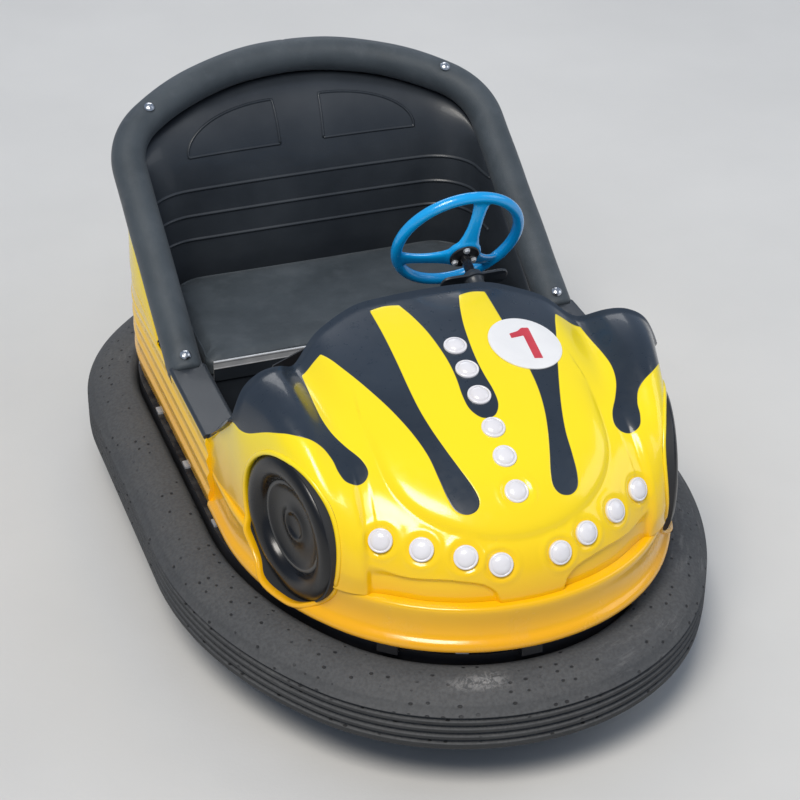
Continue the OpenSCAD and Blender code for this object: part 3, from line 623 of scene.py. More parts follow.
# One look for each of the record's slots, then the looks of single pieces
M = {
    "body_paint": body_paint("body_paint", False),
    "ring_rubber": ring_rubber(),
    "pad": leatherette(),
    "black_moulding": moulding("black_moulding", (0.018, 0.022, 0.028), (0.030, 0.036, 0.044), (0.34, 0.48),
                               coat=0.12, scratches=0.10),
    "black_gloss": moulding("black_gloss", (0.002, 0.002, 0.0024), (0.004, 0.004, 0.005), (0.24, 0.34),
                            grain=60.0),
    "frame_paint": painted_steel(),
    "bright_steel": bright_steel(),
    "blue_plastic": moulding("blue_plastic", (0.0, 0.32, 0.76), (0.004, 0.40, 0.87), (0.20, 0.30),
                             coat=0.5, grain=120.0, scratches=0.10),
    "lamp_white": lamp_lens(),
    "tyre_rubber": tyre(),
    "flames": body_paint("flame_body", True),
    "grey line": moulding("grey_line", (0.045, 0.045, 0.045), (0.085, 0.085, 0.082), (0.30, 0.45)),
    "raw": moulding("raw_fibre", (0.012, 0.013, 0.015), (0.024, 0.025, 0.028), (0.60, 0.80)),
    "column": moulding("column_black", (0.006, 0.006, 0.007), (0.012, 0.012, 0.014), (0.14, 0.22), coat=0.3),
    "aluminium": aluminium(),
    "white sticker": sticker("sticker_white", (0.83, 0.82, 0.82), (0.88, 0.87, 0.86)),
    "red sticker": sticker("sticker_red", (0.56, 0.035, 0.055), (0.66, 0.055, 0.075)),
}
SHELL_LOOKS = ["body_paint", "raw"]

# Sizes repeated from the model (mm). A plan line is half width, nose y, nose radius, tail y, tail radius.
BODY_T, BODY_Z, CREASE_Z, SILL_Z, COWL_Z = 5.0, 285.0, 397.0, 472.0, 747.0
RING_LINE = (600.0, -975.0, 520.0, 975.0, 600.0)
BODY_LINE = (462.0, -878.0, 423.0, 840.0, 465.0)
BODY_HALF, NOSE_Y = BODY_LINE[0], BODY_LINE[1]
SIDE_Y0 = -220.0
DISH_R, DISH_TOE = 153.0, 15.0
DISH_CENTRE = (BODY_HALF * 0.892, NOSE_Y + 303, 459.0)
# Direction in which a plan's side arcs meet its nose and tail arcs
SIN, COS = 0.8, 0.6


# Plan outlines
def arc(centre, r, a, b, step, end=0):
    """Points and outward normals on an arc from angle a to b. end is 1 to take in its last point."""
    n = max(2, int(abs(b - a) * r / step))
    normals = [(math.cos(t), math.sin(t)) for t in (a + (b - a) * k / n for k in range(n + end))]
    return [(centre[0] + r * c, centre[1] + r * s) for c, s in normals], normals


def straight_side(x, y0, y1, step):
    """Points and normals up a straight side, without its last point."""
    n = max(1, int((y1 - y0) / step))
    return [(x, y0 + (y1 - y0) * k / n) for k in range(n)], [(1.0, 0.0)] * n


def join(*stretches):
    return [np.array(sum(part, [])) for part in zip(*stretches)]


def side_radius(o, r):
    return (o[0] - r * SIN) / (1 - SIN)


def tail_start(o):
    """The y at which a plan's straight side ends."""
    return o[3] - o[4] - (side_radius(o, o[4]) - o[4]) * COS


def plan(o, step):
    """Plan outline from the nose, round the +X side, to the tail: points and outward normals (mm)."""
    half, y0, r0, y1, r1 = o
    q0, q1 = side_radius(o, r0), side_radius(o, r1)
    turn, quarter = math.asin(SIN), math.pi / 2
    s0 = (-(q0 - r0) * SIN, y0 + r0 + (q0 - r0) * COS)
    s1 = (-(q1 - r1) * SIN, y1 - r1 - (q1 - r1) * COS)
    return join(arc((0.0, y0 + r0), r0, -quarter, turn - quarter, step),
                arc(s0, q0, turn - quarter, 0.0, step), straight_side(half, s0[1], s1[1], step),
                arc(s1, q1, 0.0, quarter - turn, step),
                arc((0.0, y1 - r1), r1, quarter - turn, quarter, step), ([(0.0, y1)], [(0.0, 1.0)]))


def plan_loop(o, step):
    """A whole plan outline: points, outward normals and distances along it."""
    pts, nrm = (np.vstack([half, half[1:-1][::-1] * (-1, 1)]) for half in plan(o, step))
    return pts, nrm, distances(pts)


def both_sides(half):
    """A line that ends on the middle, carried on over the other side."""
    return np.vstack([half, half[:-1][::-1] * (-1, 1)])


def lift(pts):
    return np.column_stack([pts, np.zeros(len(pts))])


def wall_round(half_p, half_n, section):
    """Sweeps a section (m) along half a plan line (mm) and its mirror image."""
    return sweep(lift(both_sides(half_p) / MM), lift(both_sides(half_n)), UP, section)


def straight(section, y0, y1, count=24):
    """Closed section of (x, z) in mm, run along y."""
    ys = np.linspace(y0, y1, count) / MM
    path = np.column_stack([np.zeros(count), ys, np.zeros(count)])
    return sweep(path, ACROSS, UP, np.asarray(section, dtype=float) / MM)


# The body's fan of walls, as in the model. The columns are foot x share and y, top x share and y, top z,
# bow power and reach.
FAN = np.array([
    [0.000, 10, 0.000, 643, 747, 1.95, 1.21], [0.238, 24, 0.173, 644, 744, 1.95, 1.21],
    [0.433, 59, 0.325, 648, 733, 2.0, 1.2], [0.595, 110, 0.487, 618, 715, 2.1, 1.14],
    [0.714, 143, 0.649, 566, 703, 2.3, 1.07], [0.792, 188, 0.765, 518, 706, 2.6, 1.03],
    [0.866, 268, 0.866, 498, 702, 2.8, 1.02], [0.920, 363, 0.940, 488, 680, 2.8, 1.02],
    [0.974, 458, 0.992, 483, 630, 2.8, 1.02], [0.996, 548, 1.010, 500, 600, 2.8, 1.02],
    [1.006, 600, 1.015, 585, 530, 2.8, 1.02], [1.012, 658, 1.017, 658, 474, 2.8, 1.02]])
FAN_MIRROR = np.array([-1, 1, -1, 1, 1, 1, 1.0])
FAN_CREASE, FAN_RISE, FAN_DEPTH = 397, 350, 560
DIP_DEPTH, DIP_WIDTH = 32, 42


def fan_rows(u):
    last = len(FAN) - 1
    i = np.minimum(np.floor(u).astype(int), last - 1)
    before = np.where((i == 0)[:, None], FAN[1] * FAN_MIRROR, FAN[np.maximum(i - 1, 0)])
    return cubic(before, FAN[i], FAN[i + 1], FAN[np.minimum(i + 2, last)], (u - i)[:, None])


def fan(u, a):
    """Points (mm) of the body's walls for arrays u (across, -11..11) and a (up, 0..90)."""
    u, a = np.broadcast_arrays(np.asarray(u, dtype=float), np.asarray(a, dtype=float))
    shape = u.shape
    u, a = u.ravel(), a.ravel()
    r = fan_rows(np.abs(u))
    k = r[:, 6]

    def square(angle):
        return r[:, 5] + 0.16 - 0.32 * angle / 90
    last = np.degrees(np.arccos((1 - 1 / k) ** (square(80.0) / 2)))
    rise = np.sin(np.radians(last)) ** (2 / square(last))
    z_high = CREASE_Z + (r[:, 4] - FAN_CREASE) * (COWL_Z - CREASE_Z) / FAN_RISE / rise
    low = np.stack([r[:, 0] * BODY_HALF, NOSE_Y + r[:, 1], np.full(len(u), CREASE_Z)], axis=1)
    high = np.stack([low[:, 0] + (r[:, 2] * BODY_HALF - low[:, 0]) * k,
                     low[:, 1] + (r[:, 3] - r[:, 1]) * k, z_high], axis=1)
    p = bow(low, high, np.radians(a * last / 90), square(a * last / 90))
    # The dip between bonnet and wing, deeper towards the back
    back = p[:, 1] - NOSE_Y
    middle = BODY_HALF * (0.58 + 0.085 * back / FAN_DEPTH)
    p[:, 2] -= DIP_DEPTH * smoothstep(back, 200, 500) * dent(np.abs(p[:, 0]) - middle, DIP_WIDTH)
    p[:, 0] *= np.where(u < 0, -1.0, 1.0)
    return p.reshape(shape + (3,))


def bow(low, high, a, n):
    """A wall that leaves low upright and reaches high level, at angles a of a curve of power n."""
    h = 1 - np.maximum(np.cos(a), 0) ** (2 / n)
    v = np.maximum(np.sin(a), 0) ** (2 / n)
    return low + (high - low) * np.stack([h, h, v], axis=-1)


def fan_angle(u, z):
    """The a at which the wall at u is z high, by halving steps."""
    a, step = 45.0, 22.5
    while step > 0.001:
        a += step if fan(u, a)[2] < z else -step
        step /= 2
    return a


# The charcoal area's edge on the +X half as (u, a), from the nose's middle outwards, smooth between corners
FLAME = np.vstack([spline(stretch) for stretch in (
    [(0.0, 54.2), (0.17, 54.9), (0.31, 57.3), (0.34, 60.8), (0.31, 65.0), (0.31, 69.0), (0.36, 73.5),
     (0.46, 78.5), (0.62, 83.2), (0.80, 87.0)],
    [(0.80, 87.0), (1.2, 87.6), (1.63, 87.2)],
    [(1.63, 87.2), (1.54, 80.0), (1.47, 72.0), (1.42, 65.0), (1.35, 59.0), (1.23, 53.5), (1.07, 48.0),
     (0.90, 42.5), (0.76, 37.5), (0.71, 33.6), (0.80, 30.9), (1.0, 29.9), (1.2, 31.2), (1.31, 34.8),
     (1.39, 40.5), (1.48, 46.5), (1.68, 52.5), (2.0, 59.0), (2.43, 66.5), (2.86, 74.0), (3.14, 79.5),
     (3.34, 83.4)],
    [(3.34, 83.4), (3.7, 84.3), (4.02, 84.8)],
    [(4.02, 84.8), (4.0, 78.5), (3.99, 71.5), (3.93, 64.5), (3.74, 58.0), (3.42, 52.0), (3.07, 46.8),
     (2.96, 42.8), (3.12, 39.6), (3.42, 38.4), (3.74, 39.7), (3.92, 43.3), (4.03, 47.8), (4.34, 52.3),
     (4.95, 54.8), (5.7, 54.4), (6.5, 52.0), (7.15, 50.2), (7.6, 51.8), (7.95, 57.5), (8.2, 66.0),
     (8.45, 78.0), (8.6, 92.0)])])
BONNET = spline([(0.0, 20.7), (0.44, 21.2), (0.91, 22.7), (1.46, 25.6), (1.95, 29.2), (2.33, 34.0),
                 (2.56, 39.2), (2.68, 45.6), (2.76, 52.0), (2.82, 58.0)])
STEP = spline([(0.60, -1.0), (0.63, 1.6), (0.70, 4.4), (0.92, 7.2), (1.33, 8.5), (1.75, 8.9), (2.45, 8.2),
               (3.2, 8.8), (3.55, 9.0)])
WING_U = 3.48
# Lamps as (u, z, lift in mm)
LAMP_R = 24.0
NOSE_LAMPS = [(s * u, z, up) for u, z, up in ((0.55, 475, 0), (1.17, 492, 0), (2.05, 503, 0), (2.95, 510, 2))
              for s in (-1, 1)]
SPINE_LAMPS = [(0.0, z, 0.3) for z in (577, 618, 648, 678, 699, 716)]
NUMBER_PLACE = (1.72, 701, 0.3)


def near_line(points, line, block=4000):
    """Distance from each point (n, 3) to a line of points (m, 3)."""
    a, ab = line[:-1], line[1:] - line[:-1]
    length2 = np.maximum((ab ** 2).sum(1), 1e-12)
    out = np.empty(len(points))
    for i in range(0, len(points), block):
        ap = points[i:i + block, None, :] - a[None]
        t = np.clip((ap * ab[None]).sum(2) / length2, 0, 1)
        out[i:i + block] = np.sqrt(((ap - t[..., None] * ab[None]) ** 2).sum(2).min(1))
    return out


def inside(u, a, poly):
    """Even-odd test of points against a closed polygon in (u, a)."""
    odd = np.zeros(u.shape, dtype=bool)
    x0, y0 = poly[-1]
    for x1, y1 in poly:
        crossing = (x0 - x1) * (a - y1) / np.where(y0 == y1, 1e-9, y0 - y1) + x1
        odd ^= ((y1 > a) != (y0 > a)) & (u < crossing)
        x0, y0 = x1, y1
    return odd


def folded(p):
    """A grid's points as a list, all on the +X side."""
    flat = p.reshape(-1, 3).copy()
    flat[:, 0] = np.abs(flat[:, 0])
    return flat


def lamp_frame(u, z, up):
    """Centre (mm), normal and two axes of a lamp's seat on the body."""
    a = fan_angle(u, z)
    n = np.cross(fan(u + 0.05, a) - fan(u - 0.05, a), fan(u, a + 1) - fan(u, a - 1))
    n /= np.linalg.norm(n)
    side = ACROSS - n * n[0]
    side /= np.linalg.norm(side)
    return fan(u, a) + n * up, n, side, np.cross(n, side)


def body_relief(u, a, p):
    """Height (mm) of the moulded relief over the plain wall."""
    au, aa, points = np.abs(u).ravel(), a.ravel(), folded(p)
    # Bonnet edge: a soft roll ending in a crease above the lamps
    d = near_line(points, fan(BONNET[:, 0], BONNET[:, 1]))
    above = (aa > np.interp(au, BONNET[:, 0], BONNET[:, 1], right=200.0)) & (au < BONNET[-1, 0])
    fade = 1 - smoothstep(aa, 40.0, 58.0)
    roll = 6.0 * (d / 40) * np.exp(1 - d / 40) * (1 - smoothstep(aa, 46.0, 74.0))
    roll -= 3.4 * dent(d, 10, 1.6) * fade
    h = np.where(above, roll, -3.4 * dent(d, 18, 1.4) * fade)
    # Wing edge: the wing stands proud of the nose in a rounded fold that dies out below the ledge
    wd = near_line(points, fan(np.full(60, WING_U), np.linspace(0, 60, 60)))
    wd = np.where(au > WING_U, wd, -wd)
    tall = 1 - smoothstep(aa, 30.0, 50.0)
    foot = 0.25 + 0.75 * smoothstep(aa, 0.0, 6.0)
    h += 6.5 * smoothstep(wd, -11.0, 7.0) * dent(np.maximum(wd, 0), 80) * tall * foot
    valley = smoothstep(wd, -60.0, -9.0) * (1 - smoothstep(wd, -11.0, -2.0))
    h -= 2.4 * valley * smoothstep(aa, 8, 14) * tall * (au > 3.0)
    # Recess under the lamps, from the soft step down to the ledge
    below = aa < np.interp(au, STEP[:, 0], STEP[:, 1], left=-50.0)
    sd = near_line(points, fan(STEP[:, 0], np.maximum(STEP[:, 1], 0.0)))
    sd = np.where(below & (au > STEP[0, 0]), sd, -sd)
    soft = 5.0 + 16.0 * smoothstep(au, 2.5, 3.4)
    h -= 9.5 * (smoothstep(sd, -0.6 * soft, soft) * (1 - smoothstep(wd, -13.0, -3.0)))
    # A round dish with a soft raised edge under each nose lamp and the lowest spine lamp
    for place_on_body in NOSE_LAMPS + SPINE_LAMPS[:1]:
        r = np.linalg.norm(p.reshape(-1, 3) - lamp_frame(*place_on_body[:2], 0)[0], axis=1)
        h = h - 2.6 * (1 - smoothstep(r, 25.0, 33.0)) + 1.5 * dent(r - 37, 6.0)
    return h.reshape(u.shape)


def flame_distance(u, a, p):
    """Signed distance (m) to the flames' edge: positive on yellow."""
    d = near_line(folded(p), fan(FLAME[:, 0], np.minimum(FLAME[:, 1], 92.0)))
    poly = np.vstack([FLAME, [(8.6, 120.0), (0.0, 120.0)]])
    black = inside(np.maximum(np.abs(u).ravel(), 1e-6), a.ravel(), poly)
    return (np.where(black, -d, d) / MM).reshape(u.shape)


def body_grid(cols, rows):
    """Even grid over the body: u, a and points (mm)."""
    uu = np.linspace(-11, 11, 2201)
    part = np.linalg.norm(np.diff(fan(uu, np.full(uu.shape, 22.0)), axis=0), axis=1)
    part = part * np.where(np.abs(uu[1:]) < 4.2, 1.3, 0.8)
    s = np.concatenate([[0], np.cumsum(part)])
    u = np.interp(np.linspace(0, s[-1], cols), s, uu)
    u = (u - u[::-1]) / 2
    for side in (-1, 1):
        u[np.argmin(np.abs(u - side * WING_U))] = side * WING_U
    aa = np.linspace(0, 90, 361)
    run = column_runs(fan(u[None, :], aa[:, None]))
    share = np.interp(np.linspace(0, 1, rows), [0, 0.34, 1], [0, 0.15, 1])
    a = np.stack([np.interp(share * run[-1, j], run[:, j], aa) for j in range(cols)], axis=1)
    u = np.broadcast_to(u[None, :], a.shape).copy()
    return u, a, fan(u, a)


# Wheel openings
def dish_matrix(s):
    """Frame of a dummy wheel: local z is its axis, outwards. s is 1 on the +X side."""
    toe = math.radians(DISH_TOE)
    z = np.array([math.cos(toe), -math.sin(toe), 0.0])
    flip = np.array([s, 1, 1.0])
    return to_matrix(np.array(DISH_CENTRE) / MM * flip, -UP * flip, np.cross(z, -UP) * flip, z * flip)


def opening_cutter():
    r = DISH_R / MM + 0.0006
    v, f = revolve([(0, -0.060), (r, -0.060), (r, 0.075), (0, 0.075)], 192)
    both = [(moved(v, dish_matrix(1)), f), (moved(v, dish_matrix(-1)), [q[::-1] for q in f])]
    return solid("cutter", merge(both), smooth=False)


cutter = opening_cutter()

# Front body: a fine outer skin with its relief, a coarser inner one, and the flames' edge as an attribute
body_u, body_a, plain = body_grid(441, 161)
flame = flame_distance(body_u, body_a, plain)
relief = body_relief(body_u, body_a, plain) + 0.5 * smoothstep(flame, -0.0025, 0.0025) - 0.3
normals = grid_normals(plain)
outer = plain + normals * relief[..., None]
from_rear_edge = np.linalg.norm(outer - outer[-1:], axis=2)
outer = outer + normals * (4.5 * dent(from_rear_edge, 9.0))[..., None]
inner = (plain - normals * (BODY_T - np.minimum(relief, 0))[..., None])[::2, ::2]
verts, faces = half_shell(outer / MM, inner / MM)
front = make_mesh("front_body_fine", verts, faces)
edge_values = np.concatenate([flame.ravel(), np.full(inner.size // 3, -1.0)])
tree = KDTree(len(verts))
for i, v in enumerate(verts):
    tree.insert(v, i)
tree.balance()
cut(front, cutter, 40)
add_attribute(front, "paint_edge", [edge_values[tree.find(v.co)[1]] for v in front.data.vertices])
place(front, "body_paint", ["flames"], replaces=["front_body"])

# Front lip: a ledge, a hollow and a foot as (out, z)
LIP = np.array([(-26, 396.4), (-1.5, 396.4), (2.0, 395.8), (4.6, 393.8), (6.0, 390.0), (5.8, 384.5),
                (4.6, 377), (2.8, 367), (1.6, 357), (1.2, 348), (2.0, 339), (3.8, 331), (6.0, 326.0),
                (9.5, 322.5), (13.6, 319.0), (16.6, 315.0), (18.0, 310.0), (17.8, 305.0), (15.8, 300.6),
                (12.4, 297.8), (8.0, 296.6), (3.0, 296.4)])
LIP_T = 5.5
lip_back = np.column_stack([LIP[::-1, 0] - LIP_T, LIP[::-1, 1]])[:-2]
lip_section = np.vstack([LIP, lip_back, [(-26, 391.4)]])
p, n = plan(BODY_LINE, 6.0)
stop = np.searchsorted(p[:, 1], SIDE_Y0)
half_p = np.vstack([p[:stop], [(BODY_HALF, SIDE_Y0)]])[::-1] * (-1, 1)
half_n = np.vstack([n[:stop], [(1.0, 0.0)]])[::-1] * (-1, 1)
lip = solid("front_lip_fine", wall_round(half_p, half_n, lip_section / MM))
cut(lip, cutter, 38)
place(lip, "body_paint", SHELL_LOOKS, replaces=["front_lip"])
dark_inside(lip)
bpy.data.objects.remove(cutter)

# Rolled edges round the wheel openings, and a wall of dark raw fibre from each down to its dummy wheel's
# plane, its darkness also painted shade inside the opening
RIM_STEPS = 200
RIM_SECTION = [(-0.8, -15.0), (-0.8, -2.0), (-0.6, 1.2), (0.4, 3.2), (2.2, 4.4), (4.6, 4.6), (7.2, 3.8),
               (9.2, 2.0), (10.6, -0.6), (9.0, -3.0), (4.0, -15.0)]
RIM_BACK = {0, len(RIM_SECTION) - 1, len(RIM_SECTION) - 2}
skin = bvh_of(front, lip)


def opening_spokes(s):
    """Centre, axis and directions round a wheel opening."""
    x, y, z, c = np.array([row[:] for row in dish_matrix(s)])[:3].T.copy()
    return c, z, [x * cos + y * sin for cos, sin in circle_points(RIM_STEPS)]


def skin_heights(s):
    """Height (m) of the skin over the dummy wheel's centre, round a wheel opening, smoothed."""
    c, z, spokes = opening_spokes(s)
    starts = [Vector(c + rad * (DISH_R + 6.0) / MM + z * 0.15) for rad in spokes]
    hits = [skin.ray_cast(start, Vector(-z), 0.3)[0] for start in starts]
    height = np.array([np.nan if hit is None else (np.array(hit) - c) @ z for hit in hits])
    good = ~np.isnan(height)
    steps = np.arange(RIM_STEPS)
    height = np.interp(steps, steps[good], height[good], period=RIM_STEPS)
    kernel = dent(np.arange(-6, 7), 2.5)
    kernel /= kernel.sum()
    return np.convolve(np.concatenate([height[-6:], height, height[:6]]), kernel, mode="valid")


def opening_ring(name, s, sections, sharp=None):
    """A ring round a wheel opening. Each spoke has a section of (mm beyond the radius, m along the axis)."""
    c, z, spokes = opening_spokes(s)
    verts = [c + rad * (DISH_R + r) / MM + z * h
             for rad, section in zip(spokes, sections) for r, h in section]
    return solid(name, (verts, grid_faces(RIM_STEPS, len(sections[0]), close=True, loop=True)), sharp)


for side, s in SIDES:
    height = skin_heights(s)
    bead = opening_ring("arch_bead_" + side, s, [[(r, at + h / MM) for r, h in RIM_SECTION] for at in height])
    place(bead, "body_paint", SHELL_LOOKS)
    for q in bead.data.polygons:
        if {i % len(RIM_SECTION) for i in q.vertices} <= RIM_BACK:
            q.material_index = 1
    # The liner's dark colour is also painted shade inside the opening
    ends = [(max(at * MM - 10.0, -10.0) / MM, min(at * MM - 17.0, -22.0) / MM) for at in height]
    walls = [((-1.2, top), (3.2, top), (3.2, low), (-1.2, low)) for top, low in ends]
    place(opening_ring("arch_liner_" + side, s, walls, 40), "black_moulding", ["raw"])

# Dummy wheels: a fat tyre wall, a thin grey ring and a dished black disc
DISH_EDGE = DISH_R - 0.6
DISH_PROFILE = [
    (0, -28.5), (10, -28.4), (20, -27.4), (25, -25.0), (27, -22.4), (31, -21.6), (36, -22.6), (40, -25.0),
    (52, -26.4), (66, -26.2), (78, -24.0), (86, -20.5), (90, -18.2), (94, -17.4), (97.5, -18.4), (99, -20.6),
    (100.5, -21.0), (102, -19.0), (103.5, -14.5), (107, -8.6), (112, -4.2), (119, -1.0), (127, 0.6),
    (135, 0.4), (142, -1.6), (147.5, -5.0), (DISH_EDGE - 1.4, -9.0), (DISH_EDGE, -13.0),
    (DISH_EDGE - 0.6, -17.0), (DISH_EDGE - 5.0, -19.5), (120, -24.0), (100, -28.5), (60, -32.5), (0, -34.0)]
GREY_FROM, GREY_TO, GREY_ABOVE = 90.5, 97.2, -20
for side, s in SIDES:
    v, f = revolve(np.array(DISH_PROFILE) / MM, 160)
    ob = solid("dummy_wheel_" + side, (moved(v, dish_matrix(s)), f), 50)
    place(ob, "black_gloss", ["black_gloss", "grey line"], replaces=["wheel_dish_" + side])
    to_local = dish_matrix(s).inverted()
    for q in ob.data.polygons:
        local = to_local @ q.center
        if GREY_FROM < math.hypot(local.x, local.y) * MM < GREY_TO and local.z * MM > GREY_ABOVE:
            q.material_index = 1

# Rubber ring: a domed top, four grooves in the side, a rounded foot. Sections are (out, z).
RING_TOP, GROOVE_PITCH, GROOVE_DEPTH, GROOVES = 254.0, 18, 9, 4
dome = [(-125 * (1 - a) - 16 * a, RING_TOP - 6 + 6 * math.sin(math.radians(126 * a)) - 32 * a ** 2.4)
        for a in np.linspace(0.16, 1, 14)]
section = [(-125, 132), (-125, 225), (-119.5, 239), *dome, (-9, 212.5), (-4, 208), (-1.2, 205.5)]
radii = [4, 4, 5] + [0] * (len(dome) - 1) + [2, 0, 0, 1]
for i in range(GROOVES):
    z = RING_TOP - 38 - 12 - i * GROOVE_PITCH
    section += [(0, z), (-GROOVE_DEPTH, z - 2), (-GROOVE_DEPTH, z - 8), (0, z - 10)]
    radii += [2.6, 2.0, 2.0, 2.6]
section += [(-1.2, 128), (-5, 124), (-20, 113), (-42, 110), (-107, 116)]
radii += [2, 4, 6, 6, 5]
section = rounded(section, radii, 3)
pts, nrm, along = plan_loop(RING_LINE, 9.0)
ring = solid("bumper_ring_fine", sweep(lift(pts / MM), lift(nrm), UP, section / MM, close=True), 60)
add_attribute(ring, "ring_s", np.repeat(along, len(section)) / MM)
add_attribute(ring, "ring_t", np.tile(distances(section), len(pts)) / MM)
place(ring, "ring_rubber", replaces=["bumper_ring"])

# Skirt section as (out, z): a foot and three strakes
SKIRT_T = 5.5
strake = (SILL_Z - BODY_Z - 60) / 3
skirt_line = [(-1.0, BODY_Z + 0.3), (8, BODY_Z + 3), (17, BODY_Z + 48)]
for i in range(3):
    z = BODY_Z + 56 + i * strake
    skirt_line += [(10, z + 6), (17, z + strake - 4)]
skirt_line += [(14, SILL_Z)]
skirt_back = [(x - SKIRT_T, z) for x, z in skirt_line[::-1]]
skirt = rounded(skirt_line + skirt_back, [2, 5, 12] + [6, 8] * 3 + [3] + [3] * len(skirt_back)) / MM

# Rear skirt
rear_y = tail_start(BODY_LINE)
p, n = plan(BODY_LINE, 7.0)
behind = p[:, 1] > rear_y + 1
rear_p = np.vstack([[(BODY_HALF, rear_y)], p[behind]])
rear_n = np.vstack([[(1.0, 0.0)], n[behind]])
ob = solid("rear_skirt_fine", wall_round(rear_p, rear_n, skirt), 45)
place(ob, "body_paint", SHELL_LOOKS, replaces=["rear_skirt"])
dark_inside(ob)

# The collar's sloping plane and centre line
COLLAR_TOP, COLLAR_RUN = 924, 675
COLLAR_R, COLLAR_HALF, LOW = 40.0, 440.0, np.array([75.0, 455.0])
SLOPE = math.atan2(COLLAR_TOP - COLLAR_R - LOW[1], COLLAR_RUN)
LENGTH = round(COLLAR_RUN / math.cos(SLOPE))
BACK_R = 620.0
CORNER_R = (COLLAR_HALF - BACK_R * COS) / (1 - COS)
CORNER_C = ((BACK_R - CORNER_R) * COS, LENGTH - BACK_R + (BACK_R - CORNER_R) * SIN)
CORNER_TURN = math.acos(COS)
COLLAR_STEP = 6.0


def from_collar(x, y, up=0.0):
    """Row frame (mm) of points in the collar's plane."""
    c, s = math.cos(SLOPE), math.sin(SLOPE)
    return np.stack([x, LOW[0] + y * c - up * s, LOW[1] + y * s + up * c], axis=-1)


collar_p, collar_n = join(
    straight_side(COLLAR_HALF, 0.0, CORNER_C[1], COLLAR_STEP),
    arc(CORNER_C, CORNER_R, 0.0, CORNER_TURN, COLLAR_STEP),
    arc((0.0, LENGTH - BACK_R), BACK_R, CORNER_TURN, math.pi / 2, COLLAR_STEP, end=1))
collar_s = distances(collar_p)


def collar_at(f, reach, degrees):
    """Points (mm) beside the collar's centre line, at shares f of its half, at an angle below its plane."""
    out, up = reach * math.cos(math.radians(degrees)), -abs(reach) * math.sin(math.radians(degrees))
    t = np.asarray(f) * collar_s[-1]
    p = interpolate(t, collar_s, collar_p)
    q = interpolate(t, collar_s, collar_n)
    q = q / np.linalg.norm(q, axis=-1, keepdims=True)
    return from_collar(p[..., 0] + q[..., 0] * out, p[..., 1] + q[..., 1] * out, up)


def along_line(line, f):
    """Points at shares f of a line's length."""
    s = distances(line)
    return interpolate(np.asarray(f) * s[-1], s, line)


def collar_end_cutter():
    """Cutters along both low ends of the collar."""
    z = np.array([0, math.cos(SLOPE), math.sin(SLOPE)])
    shape = revolve([(0, -0.002), (0.0403, -0.002), (0.0403, 0.260), (0, 0.260)])
    parts = []
    for side in (1, -1):
        at = from_collar(np.array(side * COLLAR_HALF), np.array(0.0)) / MM
        parts.append((moved(shape[0], to_matrix(at, ACROSS, np.cross(z, ACROSS), z)), shape[1]))
    return solid("end_cutter", merge(parts), smooth=False)


# Side skirts, with a closed wall at each one's front end
end_cutter = collar_end_cutter()
end_line = [(BODY_HALF + a, b) for a, b in [(-8, BODY_Z + 14)] + skirt_line[1:] + [(-8, SILL_Z)]]
end_line = rounded(end_line, [1, 4, 8, 5, 6, 5, 6, 5, 6, 2, 1])
left_skirt = straight(skirt * MM + (BODY_HALF, 0), SIDE_Y0 + 0.3, rear_y - 0.3)
left_end = straight(end_line, SIDE_Y0 - 2.4, SIDE_Y0 + 0.1, 2)
for side, shape, end in (("left", left_skirt, left_end), ("right", mirror_x(left_skirt), mirror_x(left_end))):
    ob = solid("side_skirt_%s_fine" % side, shape)
    cut(ob, end_cutter, 45)
    place(ob, "body_paint", SHELL_LOOKS, replaces=["side_skirt_" + side])
    dark_inside(ob)
    place(solid("skirt_end_" + side, end, 45), "body_paint")

# Door sills with the cabin's inner side walls
SILL_IN, FLOOR_TOP, WALL_T = BODY_HALF - 66, 146.3, 6
cap = [(SILL_IN, FLOOR_TOP), (SILL_IN + WALL_T, FLOOR_TOP), (SILL_IN + WALL_T, SILL_Z + 0.3),
       (BODY_HALF + 18, SILL_Z + 0.3), (BODY_HALF + 18.5, SILL_Z + 6), (BODY_HALF + 13, SILL_Z + 10),
       (BODY_HALF - 26, SILL_Z + 10.5), (SILL_IN + 8, SILL_Z + 10), (SILL_IN, SILL_Z + 3)]
cap = rounded(cap, [1, 1, 2, 2, 3, 5, 20, 4, 4], 5)
low_wall = [(SILL_IN, FLOOR_TOP), (SILL_IN + WALL_T, FLOOR_TOP), (SILL_IN + WALL_T, 376), (SILL_IN, 376)]
sill = [straight(cap, SIDE_Y0 + 2, 73), straight(low_wall, 73, 136, 2)]
ob = solid("sill_caps_fine", merge(sill + [mirror_x(q) for q in sill]))
cut(ob, end_cutter, 35)
place(ob, "black_moulding", replaces=["sill_caps"])
bpy.data.objects.remove(end_cutter)

# Rear shell, from a line 14 mm outside the body's up to the collar
SHELL_OUT = np.array([14, -14, 14, 14, 14])
SHELL_COLS, SHELL_ROWS, SHELL_BOW = 220, 60, 1.7
wide = tuple(np.array(BODY_LINE) + SHELL_OUT)
start_y = tail_start(wide)
wide_p = plan(wide, 6.0)[0]
low_line = np.vstack([[(wide[0], LOW[0])], [(wide[0], start_y)], wide_p[wide_p[:, 1] > start_y + 1]])
across = np.linspace(-1, 1, SHELL_COLS)
f = 1 - (1 - 0.12) * np.abs(across)
low = np.column_stack([along_line(low_line, f), np.full(SHELL_COLS, SILL_Z + 0.9)])
high = collar_at(f, COLLAR_R + 5, 68)
g = even_rows(bow(low[None], high[None], np.linspace(0, math.pi / 2, 181)[:, None], SHELL_BOW), SHELL_ROWS)
g[..., 0] *= np.where(across < 0, 1.0, -1.0)
n = grid_normals(g)
n *= np.sign(n[SHELL_ROWS // 2, SHELL_COLS // 2, 1])
